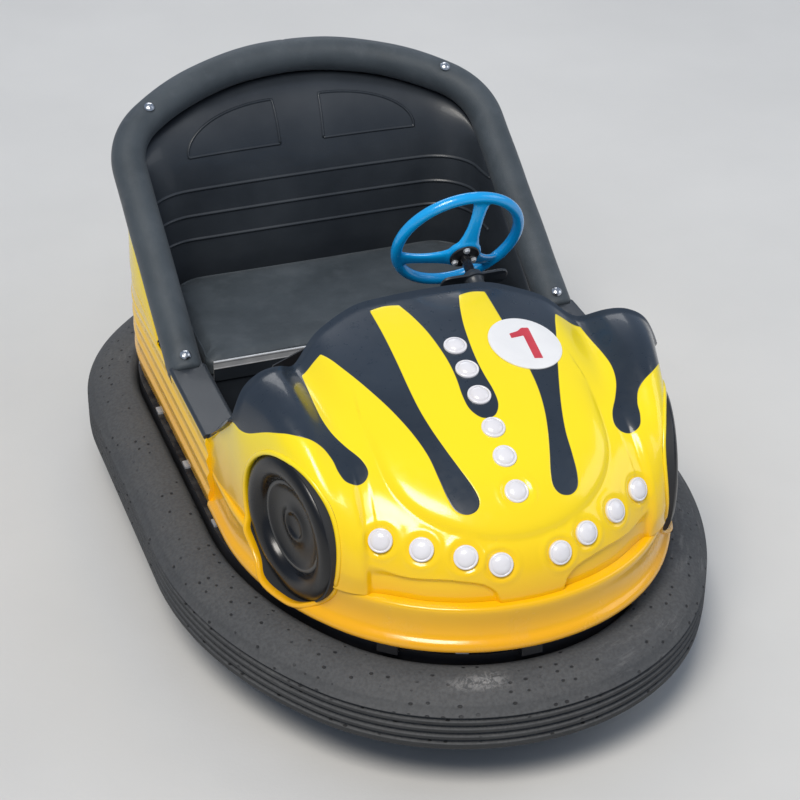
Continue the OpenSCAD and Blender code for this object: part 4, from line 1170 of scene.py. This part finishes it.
# A pressed panel line round the back, and a swell above it
share = np.linspace(0, 1, SHELL_ROWS)[:, None]
aside = np.abs(across)[None, :]
line = dent(share - 0.30, 0.020) * (1 - smoothstep(aside, 0.86, 0.97))
swell_up = smoothstep(share, 0.30, 0.40) * (1 - smoothstep(share, 0.80, 0.97))
swell_up = swell_up * (1 - smoothstep(aside, 0.80, 0.95))
shape = g + n * (-2.2 * line + 3.0 * swell_up)[..., None]
rear = solid("rear_shell_fine", shell(shape / MM, (g - n * BODY_T) / MM), 45)
place(rear, "body_paint", SHELL_LOOKS, replaces=["rear_shell"])
dark_inside(rear)

# Seat shell
SEAT_HALF, SEAT_BACK, SEAT_CORNER = 396.0, 585.0, 110.0
BASE_Z, SEAT_BOW = 400.0, 2.4
CABIN = np.array([0, 250, 650.0])
corner_x, corner_y = SEAT_HALF - SEAT_CORNER, SEAT_BACK - SEAT_CORNER
corner = [(corner_x + SEAT_CORNER * math.cos(t), corner_y + SEAT_CORNER * math.sin(t))
          for t in np.linspace(0, math.pi / 2, 17)]
seat_line = np.vstack([[(SEAT_HALF, LOW[0])], corner, [(0, SEAT_BACK)]])


def seat_high(f):
    return collar_at(1 - np.abs(f), -(COLLAR_R + 1.8), 58)


def seat_point(f, a):
    """Points (mm) of the seat shell for arrays f (across, -1..1) and a (up, 0 to a quarter turn)."""
    f, a = np.broadcast_arrays(np.asarray(f, dtype=float), np.asarray(a, dtype=float))
    q = along_line(seat_line, 1 - np.abs(f))
    low = np.concatenate([q, np.full(q.shape[:-1] + (1,), BASE_Z - 12)], axis=-1)
    p = bow(low, seat_high(f), a, SEAT_BOW)
    p[..., 0] *= np.where(f < 0, -1.0, 1.0)
    return p


def seat_angle(f, z):
    v = (z - BASE_Z + 12) / (seat_high(f)[..., 2] - BASE_Z + 12)
    return np.arcsin(np.clip(v, 0, 1) ** (SEAT_BOW / 2))


def seat_normal(f, a):
    """Unit normals of the seat shell, into the cabin."""
    e = 0.004
    du = seat_point(np.minimum(f + e, 1), a) - seat_point(np.maximum(f - e, -1), a)
    da = seat_point(f, np.minimum(a + e, math.pi / 2)) - seat_point(f, np.maximum(a - e, 0))
    n = np.cross(du, da)
    n /= np.maximum(np.linalg.norm(n, axis=-1, keepdims=True), 1e-9)
    return n * np.where((n * (CABIN - seat_point(f, a))).sum(-1, keepdims=True) < 0, -1.0, 1.0)


g = even_rows(seat_point(np.linspace(-1, 1, 260)[None, :], np.linspace(0, math.pi / 2, 241)[:, None]), 60)
n = grid_normals(g)
if ((n * (CABIN - g)).sum(-1) > 0).mean() < 0.5:
    n = -n
seat = solid("seat_shell_fine", shell(g / MM, (g - n * BODY_T) / MM))
place(seat, "black_moulding", replaces=["seat_shell"])

# Raised ribs and two arched frames on the seat back
RIB_HEIGHTS, RIB_END = (516, 577, 640), 0.62
WIN_FOOT, WIN_H, WIN_IN, WIN_OUT = 717.0, 94.0, 0.06, 0.31
WIN_WIDTH = 1400


def ridge(fz, width, height):
    """A low rounded bead along (f, z) places on the seat shell."""
    a = seat_angle(fz[:, 0], fz[:, 1])
    p = seat_point(fz[:, 0], a)
    n = seat_normal(fz[:, 0], a)
    t = np.gradient(p, axis=0)
    t /= np.linalg.norm(t, axis=1, keepdims=True)
    section = [(width * x, height * math.cos(math.pi / 2 * x) ** 1.3 - 0.3) for x in np.linspace(-1, 1, 11)]
    return sweep(p / MM, np.cross(n, t), n, np.array(section + [(0, -2.5)]) / MM)


ribs = [ridge(np.column_stack([np.linspace(-RIB_END, RIB_END, 150), np.full(150, z)]), 5.0, 3.4)
        for z in RIB_HEIGHTS]
for s in (-1, 1):
    top = [(WIN_IN + (WIN_OUT - WIN_IN) * math.cos(t), WIN_FOOT + WIN_H * math.sin(t))
           for t in np.linspace(0, math.pi / 2, 24)]
    outline = np.array([(WIN_IN, WIN_FOOT)] + top + [(WIN_IN, WIN_FOOT)]) * (s, 1)
    ribs.append(ridge(resample(outline * (WIN_WIDTH, 1), 130) / (WIN_WIDTH, 1), 4.0, 3.0))
place(solid("seat_ribs", merge(ribs)), "black_moulding")

# Padded collar
COLLAR_SIDES, END_ROUND = 48, 12.0
BOLTS = [30.0, CORNER_C[1] + CORNER_R * math.radians(56)]
full_p, full_n = both_sides(collar_p), both_sides(collar_n)
full_s = distances(full_p)


def collar_radius(s, t):
    """Radius (mm) at distance s and angle t: tapered ends, bolt dents, a seam at the back and slow waves."""
    total = full_s[-1]
    from_end = min(s, total - s)
    grow = 1 - 0.5 * (1 - min(from_end / END_ROUND, 1.0)) ** 2.2 * 0.35
    from_top = abs(((t - math.pi / 2 + math.pi) % TAU) - math.pi)
    pulled_in = 0.0
    for bolt in BOLTS:
        pulled_in += 2.6 * math.exp(-(math.hypot(from_end - bolt, COLLAR_R * from_top) / 17.0) ** 2)
    r = COLLAR_R * grow * (1 - 0.012 * math.cos(2 * t)) - pulled_in
    r -= 1.1 * math.exp(-((total / 2 - s) / 2.6) ** 2)
    return r + 0.5 * math.sin(s / 31.0 + 1.7 * math.sin(t)) * math.sin(t + 0.6)


def collar_ring(p, n, s):
    ring = []
    for k in range(COLLAR_SIDES):
        t = TAU * k / COLLAR_SIDES
        r = collar_radius(s, t)
        x, y = (p[i] + n[i] * r * math.cos(t) for i in (0, 1))
        ring.append(from_collar(x, y, r * math.sin(t)))
    return ring


rings = np.array([collar_ring(*q) for q in zip(full_p, full_n, full_s)]) / MM
verts = [rings.reshape(-1, 3)]
faces = grid_faces(len(rings), COLLAR_SIDES, close=True)
base = rings.size // 3
for first, ring_v in ((0, rings[0]), (base - COLLAR_SIDES, rings[-1])):
    c = ring_v.mean(0)
    verts.append(np.vstack([c + (ring_v - c) * 0.86, [c]]))
    for k in range(COLLAR_SIDES):
        after = (k + 1) % COLLAR_SIDES
        faces.append((first + k, first + after, base + after, base + k))
        faces.append((base + k, base + after, base + COLLAR_SIDES))
    base += COLLAR_SIDES + 1
ob = solid("collar_fine", (np.vstack(verts), faces), 60)
place(ob, "pad", replaces=["collar"])

# Seat cushion: a slab that is swollen by cloth simulation
CUSHION_W, CUSHION_L, CUSHION_GAP = 2 * SEAT_HALF - 18, 440.0, 8
SEAT_FRONT = SEAT_BACK - CUSHION_L - 15
CUSHION_MIDDLE = CUSHION_L / 2 - 6
VOXEL, PINNED_BELOW, SWELL_CAP, PRESSURE, FRAMES = 0.006, 0.4025, 0.007, 4.0, 20
# The slab's side as (inset, z), bottom to top
SLAB = [(60, 400.8), (26, 400.8), (10, 401.2), (6, 403.5), (4.5, 407), (3.8, 413), (3.6, 421), (3.8, 428),
        (4.4, 432), (6.0, 435), (9, 437.2), (15, 438.8), (26, 439.8), (60, 440.4), (110, 440.8)]


def cushion_outline():
    """Small radii in front, wide ones behind."""
    w = CUSHION_W / 2
    corners = ((w - 26, 26, 26, -90, 0, 8), (w - 96, CUSHION_L - 110, 90, 10, 90, 14),
               (-(w - 96), CUSHION_L - 110, 90, 90, 170, 14), (-(w - 26), 26, 26, 180, 270, 8))
    pts = [(x + r * math.cos(t), y + r * math.sin(t)) for x, y, r, a, b, count in corners
           for t in np.linspace(math.radians(a), math.radians(b), count)]
    return resample(np.array(pts + pts[:1]), 241)[:-1]


def cushion_layer(inset, z):
    """The cushion's outline drawn in by inset (mm), at height z."""
    centre = np.array([0.0, CUSHION_MIDDLE])
    d = cushion_outline() - centre
    q = centre + d * (1 - inset / np.linalg.norm(d, axis=1, keepdims=True))
    return np.column_stack([q[:, 0], q[:, 1] + SEAT_FRONT + CUSHION_GAP, np.full(len(q), z)])


def cushion_start():
    """A closed slab, a little smaller than the cushion, before it swells."""
    rows = np.array([cushion_layer(inset, z) for inset, z in SLAB])
    m = rows.shape[1]
    verts = np.vstack([rows.reshape(-1, 3), [rows[-1].mean(0)], [rows[0].mean(0)]]) / MM
    top, base = len(rows) * m, (len(rows) - 1) * m
    faces = grid_faces(len(rows), m, close=True)
    faces += [(base + k, base + (k + 1) % m, top) for k in range(m)]
    faces += [((k + 1) % m, k, top + 1) for k in range(m)]
    return solid("seat_cushion_fine", (verts, faces))


def coordinates(ob):
    return np.array([v.co[:] for v in ob.data.vertices])


def swell(ob):
    """Swells a pad by cloth simulation. Its underside stays, and no point moves further than the cap."""
    remesh(ob, VOXEL)
    apply_modifiers(ob)
    rest = coordinates(ob)
    group = ob.vertex_groups.new(name="pin")
    group.add([int(i) for i in np.nonzero(rest[:, 2] < PINNED_BELOW)[0]], 1.0, "REPLACE")
    mod = ob.modifiers.new("cloth", "CLOTH")
    s = mod.settings
    s.vertex_group_mass = "pin"
    s.quality = 4
    s.mass = 0.4
    s.tension_stiffness = s.compression_stiffness = 12
    s.shear_stiffness = 6
    s.bending_stiffness = 2.0
    s.use_pressure = True
    s.uniform_pressure_force = PRESSURE
    s.effector_weights.gravity = 0
    mod.collision_settings.use_collision = False
    mod.point_cache.frame_start = 1
    mod.point_cache.frame_end = FRAMES
    for k in range(1, FRAMES + 1):
        bpy.context.scene.frame_set(k)
    apply_modifiers(ob)
    bpy.context.scene.frame_set(1)
    step = coordinates(ob) - rest
    length = np.linalg.norm(step, axis=1, keepdims=True)
    now = rest + step * np.minimum(1.0, SWELL_CAP / np.maximum(length, 1e-9))
    ob.data.vertices.foreach_set("co", now.ravel())
    ob.vertex_groups.clear()


cushion = cushion_start()
swell(cushion)
# The top sags where two riders sit, and the front edge pulls in between its corners
SAG, SAG_X, SAG_Y, SAG_R = 3.4, 175, 225, 125
PULL, PULL_DEPTH = 2.0, 26
q = coordinates(cushion) * MM
top = smoothstep(q[:, 2], 430, 444)
y_in = q[:, 1] - SEAT_FRONT - CUSHION_GAP
for s in (-1, 1):
    q[:, 2] -= SAG * top * np.exp(-(((q[:, 0] - s * SAG_X) / SAG_R) ** 2 + ((y_in - SAG_Y) / SAG_R) ** 2))
q[:, 1] += PULL * np.clip(1 - (q[:, 0] / (CUSHION_W / 2)) ** 2, 0, 1) * dent(y_in, PULL_DEPTH)
cushion.data.vertices.foreach_set("co", (q / MM).ravel())
relax(cushion, 2)
mod = cushion.modifiers.new("subdivision", "SUBSURF")
mod.levels = mod.render_levels = 1
apply_modifiers(cushion)
shade_smooth(cushion)
place(cushion, "pad", replaces=["seat_cushion"])

# Welt round the cushion's upper edge, laid on the swollen side
WELT_Z, WELT_R = 435.0, 2.4
cushion_tree = bvh_of(cushion)
welt = []
for at in cushion_layer(-30.0, WELT_Z):
    to = np.array([0.0, SEAT_FRONT + CUSHION_GAP + CUSHION_MIDDLE, WELT_Z]) - at
    to /= np.linalg.norm(to)
    hit = cushion_tree.ray_cast(Vector(at / MM), Vector(to), 0.09)[0]
    if hit is not None:
        welt.append(np.array(hit) * MM + to * 0.9)
welt = np.array(welt)
for k in range(3):
    welt = (np.roll(welt, 1, axis=0) + 2 * welt + np.roll(welt, -1, axis=0)) / 4
t = np.roll(welt, -1, axis=0) - np.roll(welt, 1, axis=0)
t /= np.linalg.norm(t, axis=1, keepdims=True)
section = WELT_R * np.array(circle_points(10)) / MM
place(solid("cushion_welt", sweep(welt / MM, np.cross(t, UP), UP, section, close=True)), "pad")

# Aluminium edge with a round bead over a black kick plate, as (y, z)
KICK_TOP, TRIM_STEPS = 0.427, 40
trim = [(0.8, 396), (5, 396), (5, 428), (5, 445.8), (3.6, 447.6), (1.2, 447.8), (-0.6, 446.2), (-0.6, 443.6),
        (0.6, 441.8), (0.6, 430), (0, 429), (0, 427.5), (0.8, 426.5)]
trim = rounded(trim, [1, 1, 0, 2, 1.5, 1.5, 1.5, 1, 1, 0.4, 0.4, 0.4, 0.4])
xs = np.linspace(-(SEAT_HALF - 30), SEAT_HALF - 30, TRIM_STEPS) / MM
path = np.column_stack([xs, np.full(TRIM_STEPS, (SEAT_FRONT - 5.3) / MM), np.zeros(TRIM_STEPS)])
ob = solid("cushion_trim_fine", sweep(path, BACKWARDS, UP, trim / MM), 50)
place(ob, "bright_steel", ["aluminium", "black_moulding"], replaces=["cushion_trim"])
for q in ob.data.polygons:
    if q.center.z < KICK_TOP:
        q.material_index = 1

# Lamps, seated on the moulded skin before the wheel openings are cut
LAMP_PROFILE = [(0, -4.5), (LAMP_R - 1, -4.5), (LAMP_R, -3.5), (LAMP_R, 2.4), (LAMP_R - 0.6, 3.6),
                (LAMP_R - 2.0, 4.4), (LAMP_R - 3.4, 4.3), (LAMP_R - 4.2, 3.7), (LAMP_R - 4.8, 4.2),
                (LAMP_R - 5.6, 5.6), (LAMP_R - 8, 7.6), (LAMP_R * 0.45, 9.9), (LAMP_R * 0.22, 10.7),
                (0, 11.0)]
plain_skin = make_mesh("plain_skin", outer.reshape(-1, 3) / MM, grid_faces(*outer.shape[:2]), smooth=False)
skin_tree = bvh_of(plain_skin)
bpy.data.objects.remove(plain_skin)


def raised(c, n, over):
    """A place (mm) moved out along its normal, where the skin needs it, to stand over the skin by over."""
    hit = skin_tree.ray_cast(Vector((c + n * 60) / MM), Vector(-n), 0.12)[0]
    if hit is None:
        return c
    return c + n * max(0.0, float((np.array(hit) * MM - c) @ n) + over)


for name, places in (("nose_lamps", NOSE_LAMPS), ("spine_lamps", SPINE_LAMPS)):
    v, f = revolve(np.array(LAMP_PROFILE) / MM, 56)
    parts = []
    for c, n, x, y in (lamp_frame(*at) for at in places):
        parts.append((moved(v, to_matrix(raised(c, n, 0.2) / MM, x, y, n)), f))
    ob = make_mesh(name + "_fine", *merge(parts))
    shade_smooth(ob, 45)
    place(ob, "lamp_white", replaces=[name])

# Roundel and its number, upright on the car
NUMERAL_LOW, NUMERAL_TOP = 1.9, 2.45
c, n = lamp_frame(*NUMBER_PLACE)[:2]
y = BACKWARDS - n * n[1]
y /= np.linalg.norm(y)
face = to_matrix(raised(c, n, 0.0) / MM, np.cross(y, n), y, n)
disc = [(0, -2.0), (77.2, -2.0), (78, -1.2), (78, 1.2), (77.6, 1.8), (76.6, 2.0), (40, 2.0), (0, 2.0)]
v, f = revolve(np.array(disc) / MM, 128)
ob = solid("number_roundel_fine", (moved(v, face), f), 45)
place(ob, "lamp_white", ["white sticker"], replaces=["number_roundel"])
one = rounded([(4, -47), (23, -47), (23, 47), (7, 47), (-4, 37), (-25, 30), (-25, 16), (4, 23)],
              [1.2, 1.2, 3, 3, 6, 1.5, 1.5, 2], 3)
v, f = loft([np.column_stack([one, np.full(len(one), z)]) / MM for z in (NUMERAL_LOW, NUMERAL_TOP)])
place(solid("numeral", (moved(v, face), f), smooth=False), "lamp_white", ["red sticker"])

# Steering wheel: a rim, three spokes and a hub, remeshed into one moulding. Its own axis is z.
WHEEL_CENTRE = np.array([130.0, NOSE_Y + 790, COWL_Z + 27]) / MM
WHEEL_SLOPE = 26
wheel_m = Matrix.Translation(Vector(WHEEL_CENTRE)) @ Matrix.Rotation(math.radians(WHEEL_SLOPE - 90), 4, "X")
wheel_up = wheel_m.to_3x3() @ Vector((0, 0, 1))
RIM_R, RIM_TUBE, WHEEL_VOXEL = 0.1375, 0.0125, 0.0024
# Stations of a spoke: radius, height, half width, half thickness
SPOKE = [(0.012, -0.0385, 0.030, 0.0085), (0.030, -0.0375, 0.026, 0.0085), (0.046, -0.033, 0.020, 0.008),
         (0.066, -0.0265, 0.0165, 0.0075), (0.088, -0.019, 0.0155, 0.007), (0.106, -0.0115, 0.0165, 0.007),
         (0.122, -0.0045, 0.020, 0.0075), (0.136, -0.001, 0.026, 0.008)]
WHEEL_HUB = [(0, -0.047), (0.034, -0.047), (0.039, -0.044), (0.040, -0.038), (0.037, -0.032),
             (0.028, -0.0300), (0.018, -0.0305), (0, -0.0308)]


def torus(major, minor, steps=96, around=20):
    t = np.linspace(0, TAU, steps, endpoint=False)[:, None]
    q = np.linspace(0, TAU, around, endpoint=False)[None, :]
    r = major + minor * np.cos(q)
    v = np.stack([r * np.cos(t), r * np.sin(t), minor * np.sin(q) + 0 * t], axis=-1)
    return v.reshape(-1, 3), grid_faces(steps, around, close=True, loop=True)


def power(x, p):
    return np.sign(x) * abs(x) ** p


def spoke(degrees):
    """A spoke with an oval section that grows into hub and rim."""
    ca, sa = math.cos(math.radians(degrees)), math.sin(math.radians(degrees))
    stations = []
    for r, z, w, t in SPOKE:
        oval = [(w * power(c, 0.7), t * power(s, 0.8)) for c, s in circle_points(16)]
        stations.append([(r * ca - x * sa, r * sa + x * ca, z + up) for x, up in oval])
    return loft(stations)


wheel = solid("steering_wheel_fine", merge([torus(RIM_R, RIM_TUBE)] + [spoke(a) for a in (45, 165, 285)]
                                           + [revolve(WHEEL_HUB, 64)]))
remesh(wheel, WHEEL_VOXEL)
relax(wheel, 9)
apply_modifiers(wheel)
wheel.data.transform(wheel_m)
shade_smooth(wheel)
place(wheel, "blue_plastic", body="steering", replaces=["steering_wheel"])


# Screws and bolts
def on_circle(r, z, angles):
    """Points on a circle in the steering wheel's own frame."""
    return [(r * math.cos(a), r * math.sin(a), z) for a in map(math.radians, angles)]


def hex_bolt(r, h, washer=0.0):
    """A hexagon head with a chamfered top on a washer, standing on z = 0."""
    ring = [(math.cos(math.pi * k / 3), math.sin(math.pi * k / 3)) for k in range(6)]
    parts = [loft([[(q * c, q * s, z) for c, s in ring] for q, z in ((r, 0.0), (r, h * 0.8), (r * 0.86, h))])]
    if washer:
        disc = [(0, 0), (washer, 0), (washer, h * 0.14), (washer * 0.96, h * 0.2), (0, h * 0.2)]
        parts.append(revolve(disc, 24))
    return merge(parts)


def bolt_piece(name, places, axis, r, h, washer, body, look="bright_steel"):
    """Bolts at some places (m), all with their heads towards axis."""
    z = np.array(axis, dtype=float) / np.linalg.norm(axis)
    x = np.cross([0.31, 0.52, 0.79], z)
    x /= np.linalg.norm(x)
    v, f = hex_bolt(r, h, washer)
    parts = [(moved(v, to_matrix(at, x, np.cross(z, x), z)), f) for at in places]
    place(solid(name, merge(parts), smooth=False), "bright_steel", [look], body=body)


SCREW = [(0, 0.0), (0.0052, 0.0), (0.0056, 0.0012), (0.0050, 0.0026), (0.0030, 0.0034),
         (0.0022, 0.0026), (0, 0.0024)]
v, f = revolve(SCREW, 20)
ob = solid("hub_screws", merge([(v + at, f) for at in on_circle(0.025, -0.0318, (105, 225, 345))]))
ob.data.transform(wheel_m)
place(ob, "bright_steel", body="steering")

# Black hub flange with three bright bolts
FLANGE = [(0.0113, -0.0513), (0.0205, -0.0513), (0.022, -0.0505), (0.0315, -0.0505), (0.033, -0.0490),
          (0.033, -0.0468), (0.0322, -0.0455), (0.0113, -0.0455)]
ob = solid("steering_hub_fine", revolve(FLANGE, 64), 40)
ob.data.transform(wheel_m)
place(ob, "frame_paint", body="steering", replaces=["steering_hub"])
places = [wheel_m @ Vector(at) for at in on_circle(0.024, -0.0505, (30, 150, 270))]
bolt_piece("hub_bolts", places, -wheel_up, 0.0062, 0.0058, 0.0078, "steering", "aluminium")


# Column plate: rounded plate, bearing boss, two bolts
def plate_with_hole(outline, hole, heights):
    """A rounded plate round a hole. heights holds (inset from the outline, z) pairs, bottom to top."""
    n = 96
    turn = np.linspace(0, TAU, n, endpoint=False)
    edge = resample(np.vstack([outline, outline[:1]]), 1201)[:-1]
    at = np.arctan2(edge[:, 1], edge[:, 0])
    edge = edge[[int(np.argmin(np.abs((at - a + math.pi) % TAU - math.pi))) for a in turn]]
    away = edge / np.linalg.norm(edge, axis=1, keepdims=True)
    ring = hole * np.column_stack([np.cos(turn), np.sin(turn)])
    lines = [(edge - away * inset, z) for inset, z in heights]
    lines = [(ring, heights[0][1]), *lines, (ring, heights[-1][1])]
    verts = np.concatenate([np.column_stack([line, np.full(n, z)]) for line, z in lines])
    return verts, grid_faces(len(lines), n, close=True, loop=True)


COLUMN_HOLE = 11.3
BOSS = [(COLUMN_HOLE, -136), (18.6, -136), (20, -134.6), (20, -118), (22, -115), (26, -113.9), (26, -108.1),
        (22, -107), (20, -104), (20, -97.4), (18.6, -96), (COLUMN_HOLE, -96)]
PLATE_EDGE = [(2.0, -114), (0.3, -112.6), (0, -111), (0.3, -109.4), (2.0, -108)]
outline = rounded([(-75, -22), (75, -22), (75, 22), (-75, 22)], 19, 8)
v, f = merge([plate_with_hole(outline, COLUMN_HOLE, PLATE_EDGE), revolve(BOSS, 64)])
ob = solid("column_plate_fine", (v / MM, f), 40)
ob.data.transform(wheel_m)
place(ob, "frame_paint", ["black_moulding"], replaces=["column_plate"])
places = [wheel_m @ Vector((x, 0, -0.108)) for x in (-0.056, 0.056)]
bolt_piece("plate_bolts", places, wheel_up, 0.0055, 0.005, 0.008, CAR)

# Bolts of the running gear (m)
AXLE_Y, AXLE_Z, AXLE_LOW, REAR_X = 0.525, 0.1, 0.0782, 0.352
DRIVE_Y, DRIVE_Z = -0.5, 0.125
NUTS_OUT, NUTS_R = 0.0269, 0.036
DRIVE_NUTS_X, DRIVE_NUTS_R = -0.0352, 0.06
for side, s in SIDES:
    places = [(s * (REAR_X + NUTS_OUT), AXLE_Y + NUTS_R * c, AXLE_Z + NUTS_R * q)
              for c, q in circle_points(5, 0.3)]
    bolt_piece("wheel_nuts_" + side, places, (s, 0, 0), 0.0070, 0.007, 0.009, "rear_wheel_" + side)
places = [(DRIVE_NUTS_X, DRIVE_Y + DRIVE_NUTS_R * c, DRIVE_Z + DRIVE_NUTS_R * q) for c, q in circle_points(6)]
bolt_piece("drive_wheel_nuts", places, (-1, 0, 0), 0.0050, 0.004, 0.0, "drive_wheel")
places = [(s * 0.3, AXLE_Y + y, AXLE_LOW) for s in (1, -1) for y in (-0.013, 0.013)]
bolt_piece("axle_bolts", places, (0, 0, -1), 0.0048, 0.004, 0.0062, CAR)

# Looks of the CAD nodes that stay
OWN_LOOKS = {"rim_clips": "aluminium", "steering_column": "column"}
for part in frame["record"]["subparts"]:
    ob = frame["nodes"][part["node"]]
    look = M[OWN_LOOKS.get(part["node"], part["material_slot"])]
    if not ob.data.materials:
        ob.data.materials.append(look)
    for material_slot in ob.material_slots:
        material_slot.material = look

# Floor
FLOOR_HALF = 30
k = Mat("floor")
cloud = k.noise(1.2, 5, 0.6)
k.set(Base_Color=k.tone(cloud, (0.63, 0.62, 0.60), (0.67, 0.66, 0.64)), Roughness=k.spread(cloud, 0.7, 0.85))
k.bump(k.noise(90.0, 4), 0.0008, 0.4)
corners = [(x * FLOOR_HALF, y * FLOOR_HALF, 0) for x, y in ((-1, -1), (1, -1), (1, 1), (-1, 1))]
floor = make_mesh("floor", corners, [(0, 1, 2, 3)], smooth=False)
floor.data.materials.append(k.m)

# Studio light: the camera sees one grey, the object is lit by another
LIT_BY, LIT_STRENGTH, SEEN = (0.62, 0.76, 1.0, 1), 0.40, (0.447, 0.467, 0.498, 1)
world = bpy.data.worlds.new("studio")
bpy.context.scene.world = world
world.use_nodes = True
tree = world.node_tree
lit = tree.nodes["Background"]
lit.inputs["Color"].default_value = LIT_BY
lit.inputs["Strength"].default_value = LIT_STRENGTH
seen = tree.nodes.new("ShaderNodeBackground")
seen.inputs["Color"].default_value = SEEN
either = tree.nodes.new("ShaderNodeMixShader")
tree.links.new(tree.nodes.new("ShaderNodeLightPath").outputs["Is Camera Ray"], either.inputs[0])
tree.links.new(lit.outputs[0], either.inputs[1])
tree.links.new(seen.outputs[0], either.inputs[2])
tree.links.new(either.outputs[0], tree.nodes["World Output"].inputs["Surface"])


def add_object(name, data, direction, at=(0, 0, 0)):
    """Links a lamp or camera that looks along direction."""
    ob = bpy.data.objects.new(name, data)
    bpy.context.scene.collection.objects.link(ob)
    ob.location = at
    ob.rotation_euler = direction.to_track_quat("-Z", "Y").to_euler()
    return ob


def area(name, at, to, size, power, colour=(1, 1, 1)):
    lamp = bpy.data.lights.new(name, "AREA")
    lamp.shape = "RECTANGLE"
    lamp.size, lamp.size_y = size
    lamp.energy = power
    lamp.color = colour
    add_object(name, lamp, Vector(to) - Vector(at), at)


area("key", (-1.6, -2.6, 4.2), (0, -0.1, 0.4), (2.4, 1.6), 66, (1.0, 0.97, 0.92))
area("fill", (3.6, -1.2, 2.6), (0, 0, 0.4), (2.6, 2.0), 26, (0.94, 0.97, 1.0))
area("back", (0.8, 3.8, 3.4), (0, 0.2, 0.5), (3.0, 1.4), 30)
sun = bpy.data.lights.new("sun", "SUN")
sun.energy = 1.6
sun.color = (1.0, 0.95, 0.87)
sun.angle = math.radians(24)
add_object("sun", sun, -Vector((-0.9, -1.1, 2.4)))

# Camera at the photograph's angle
EYE, AIM, LENS = Vector((-1.403, -4.095, 2.965)), Vector((0.02, -0.03, 0.36)), 101.0
camera = bpy.data.cameras.new("camera")
camera.sensor_width = 36.0
camera.sensor_fit = "HORIZONTAL"
camera.lens = LENS
bpy.context.scene.camera = add_object("camera", camera, AIM - EYE, EYE)
bpy.context.scene.view_settings.view_transform = "Standard"
